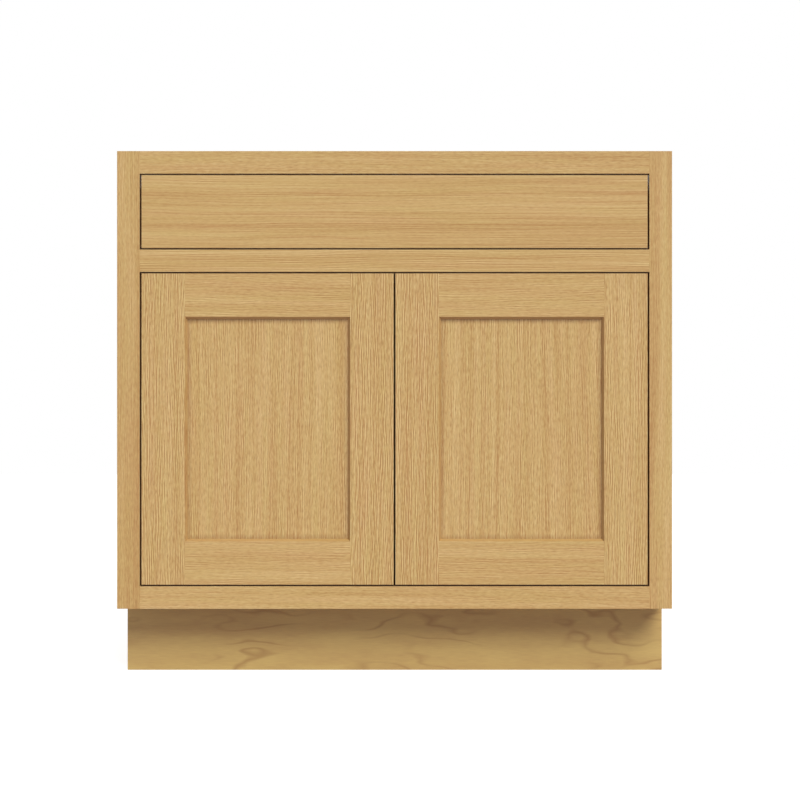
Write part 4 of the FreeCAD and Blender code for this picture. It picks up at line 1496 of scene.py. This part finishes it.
@dataclass
class Studio:
    """The floor, the lights and the camera, which aren't part of the cabinet."""

    distance: float = 2.690
    camera_x: float = 0.00906
    camera_z: float = 0.4619
    picture_width: float = 1.3316
    sensor: float = 36.0
    farthest: float = 60.0
    floor_size: float = 14.0
    key: Lamp = Lamp("key", strength=2.6, height=41, aside=26, softness=32, tint=(1.0, 1.025, 0.93))
    fill: Lamp = Lamp("fill", strength=0.9, height=30, aside=197, softness=60)
    world_strength: float = 0.33
    room_tint: Colour = (1.0, 0.97, 1.1, 1.0)
    floor_colour: Colour = (0.53, 0.475, 0.565, 1.0)
    floor_shown: Colour = (0.6, 0.6, 0.6, 1.0)
    floor_glow: float = 0.74

    def build(self) -> None:
        """Build the studio."""
        self.place_camera()
        self.light_world()
        self.key.hang()
        self.fill.hang()
        self.lay_floor()

    def place_camera(self) -> None:
        """Put a level camera in front of the cabinet, at the photograph's distance and height."""
        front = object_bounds()[0].y
        data = bpy.data.cameras.new("camera")
        data.sensor_width = self.sensor
        data.lens = self.sensor * self.distance / self.picture_width
        data.clip_end = self.farthest
        camera = placed_object("camera", data)
        camera.location = (self.camera_x, front - self.distance, self.camera_z)
        camera.rotation_euler = (math.radians(90), 0.0, 0.0)
        bpy.context.scene.camera = camera

    def light_world(self) -> None:
        """Light the room evenly, and show plain white behind the cabinet."""
        world = bpy.data.worlds.new("studio")
        graph = cleared(world)
        room = graph.add("Background", {"Color": self.room_tint, "Strength": self.world_strength})
        white = graph.add("Background", {"Color": WHITE, "Strength": 1.0})
        graph.show(graph.choose(self.seen_directly(graph), room, white), "OutputWorld")
        bpy.context.scene.world = world

    def seen_directly(self, graph: Graph) -> NodeSocket:
        """Mask what the camera, a mirror or a glass sees of the surroundings.

        Args:
            graph: The graph of the world or the floor.

        Returns:
            1 where it is seen, and 0 where it only lights the cabinet.
        """
        path = graph.add("LightPath").outputs
        seen = graph.math("MAXIMUM", path["Is Camera Ray"], path["Is Glossy Ray"])
        return graph.math("MAXIMUM", seen, path["Is Transmission Ray"])

    def lay_floor(self) -> None:
        """Lay a pale floor that shows white but keeps the cabinet's shadow, and is clear from below."""
        mesh = bmesh.new()
        bmesh.ops.create_grid(mesh, x_segments=1, y_segments=1, size=self.floor_size / 2)
        floor = placed_object("floor", mesh_data(mesh, "floor"))
        material = bpy.data.materials.new("floor")
        graph = cleared(material)
        lighting = graph.add("BsdfDiffuse", {"Color": self.floor_colour})
        shadowed = graph.add("BsdfDiffuse", {"Color": self.floor_shown})
        glow = graph.add("Emission", {"Color": WHITE, "Strength": self.floor_glow})
        shown = graph.add("AddShader", {0: shadowed.outputs[0], 1: glow.outputs[0]})
        above = graph.choose(self.seen_directly(graph), lighting, shown)
        below = graph.add("NewGeometry").outputs["Backfacing"]
        graph.show(graph.choose(below, above, graph.add("BsdfTransparent")))
        floor.data.materials.append(material)
        floor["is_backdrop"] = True


def main() -> None:
    """Build the studio and the cabinet, and report each piece's faces."""
    logging.basicConfig(level=logging.INFO, format="%(name)s: %(message)s")
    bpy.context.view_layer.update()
    Studio().build()
    doors = [Door(side) for side in Side]
    hinges = [Hinges(side) for side in Side]
    for assembly in (FaceFrame(), *doors, Carcass(), Drawer(), *hinges, Runners(), Fastenings()):
        for piece in assembly.build():
            log.info("%s: %d faces", piece.name, len(piece.data.polygons))
    bpy.context.scene.view_settings.view_transform = "Standard"


if __name__ == "__main__":
    main()
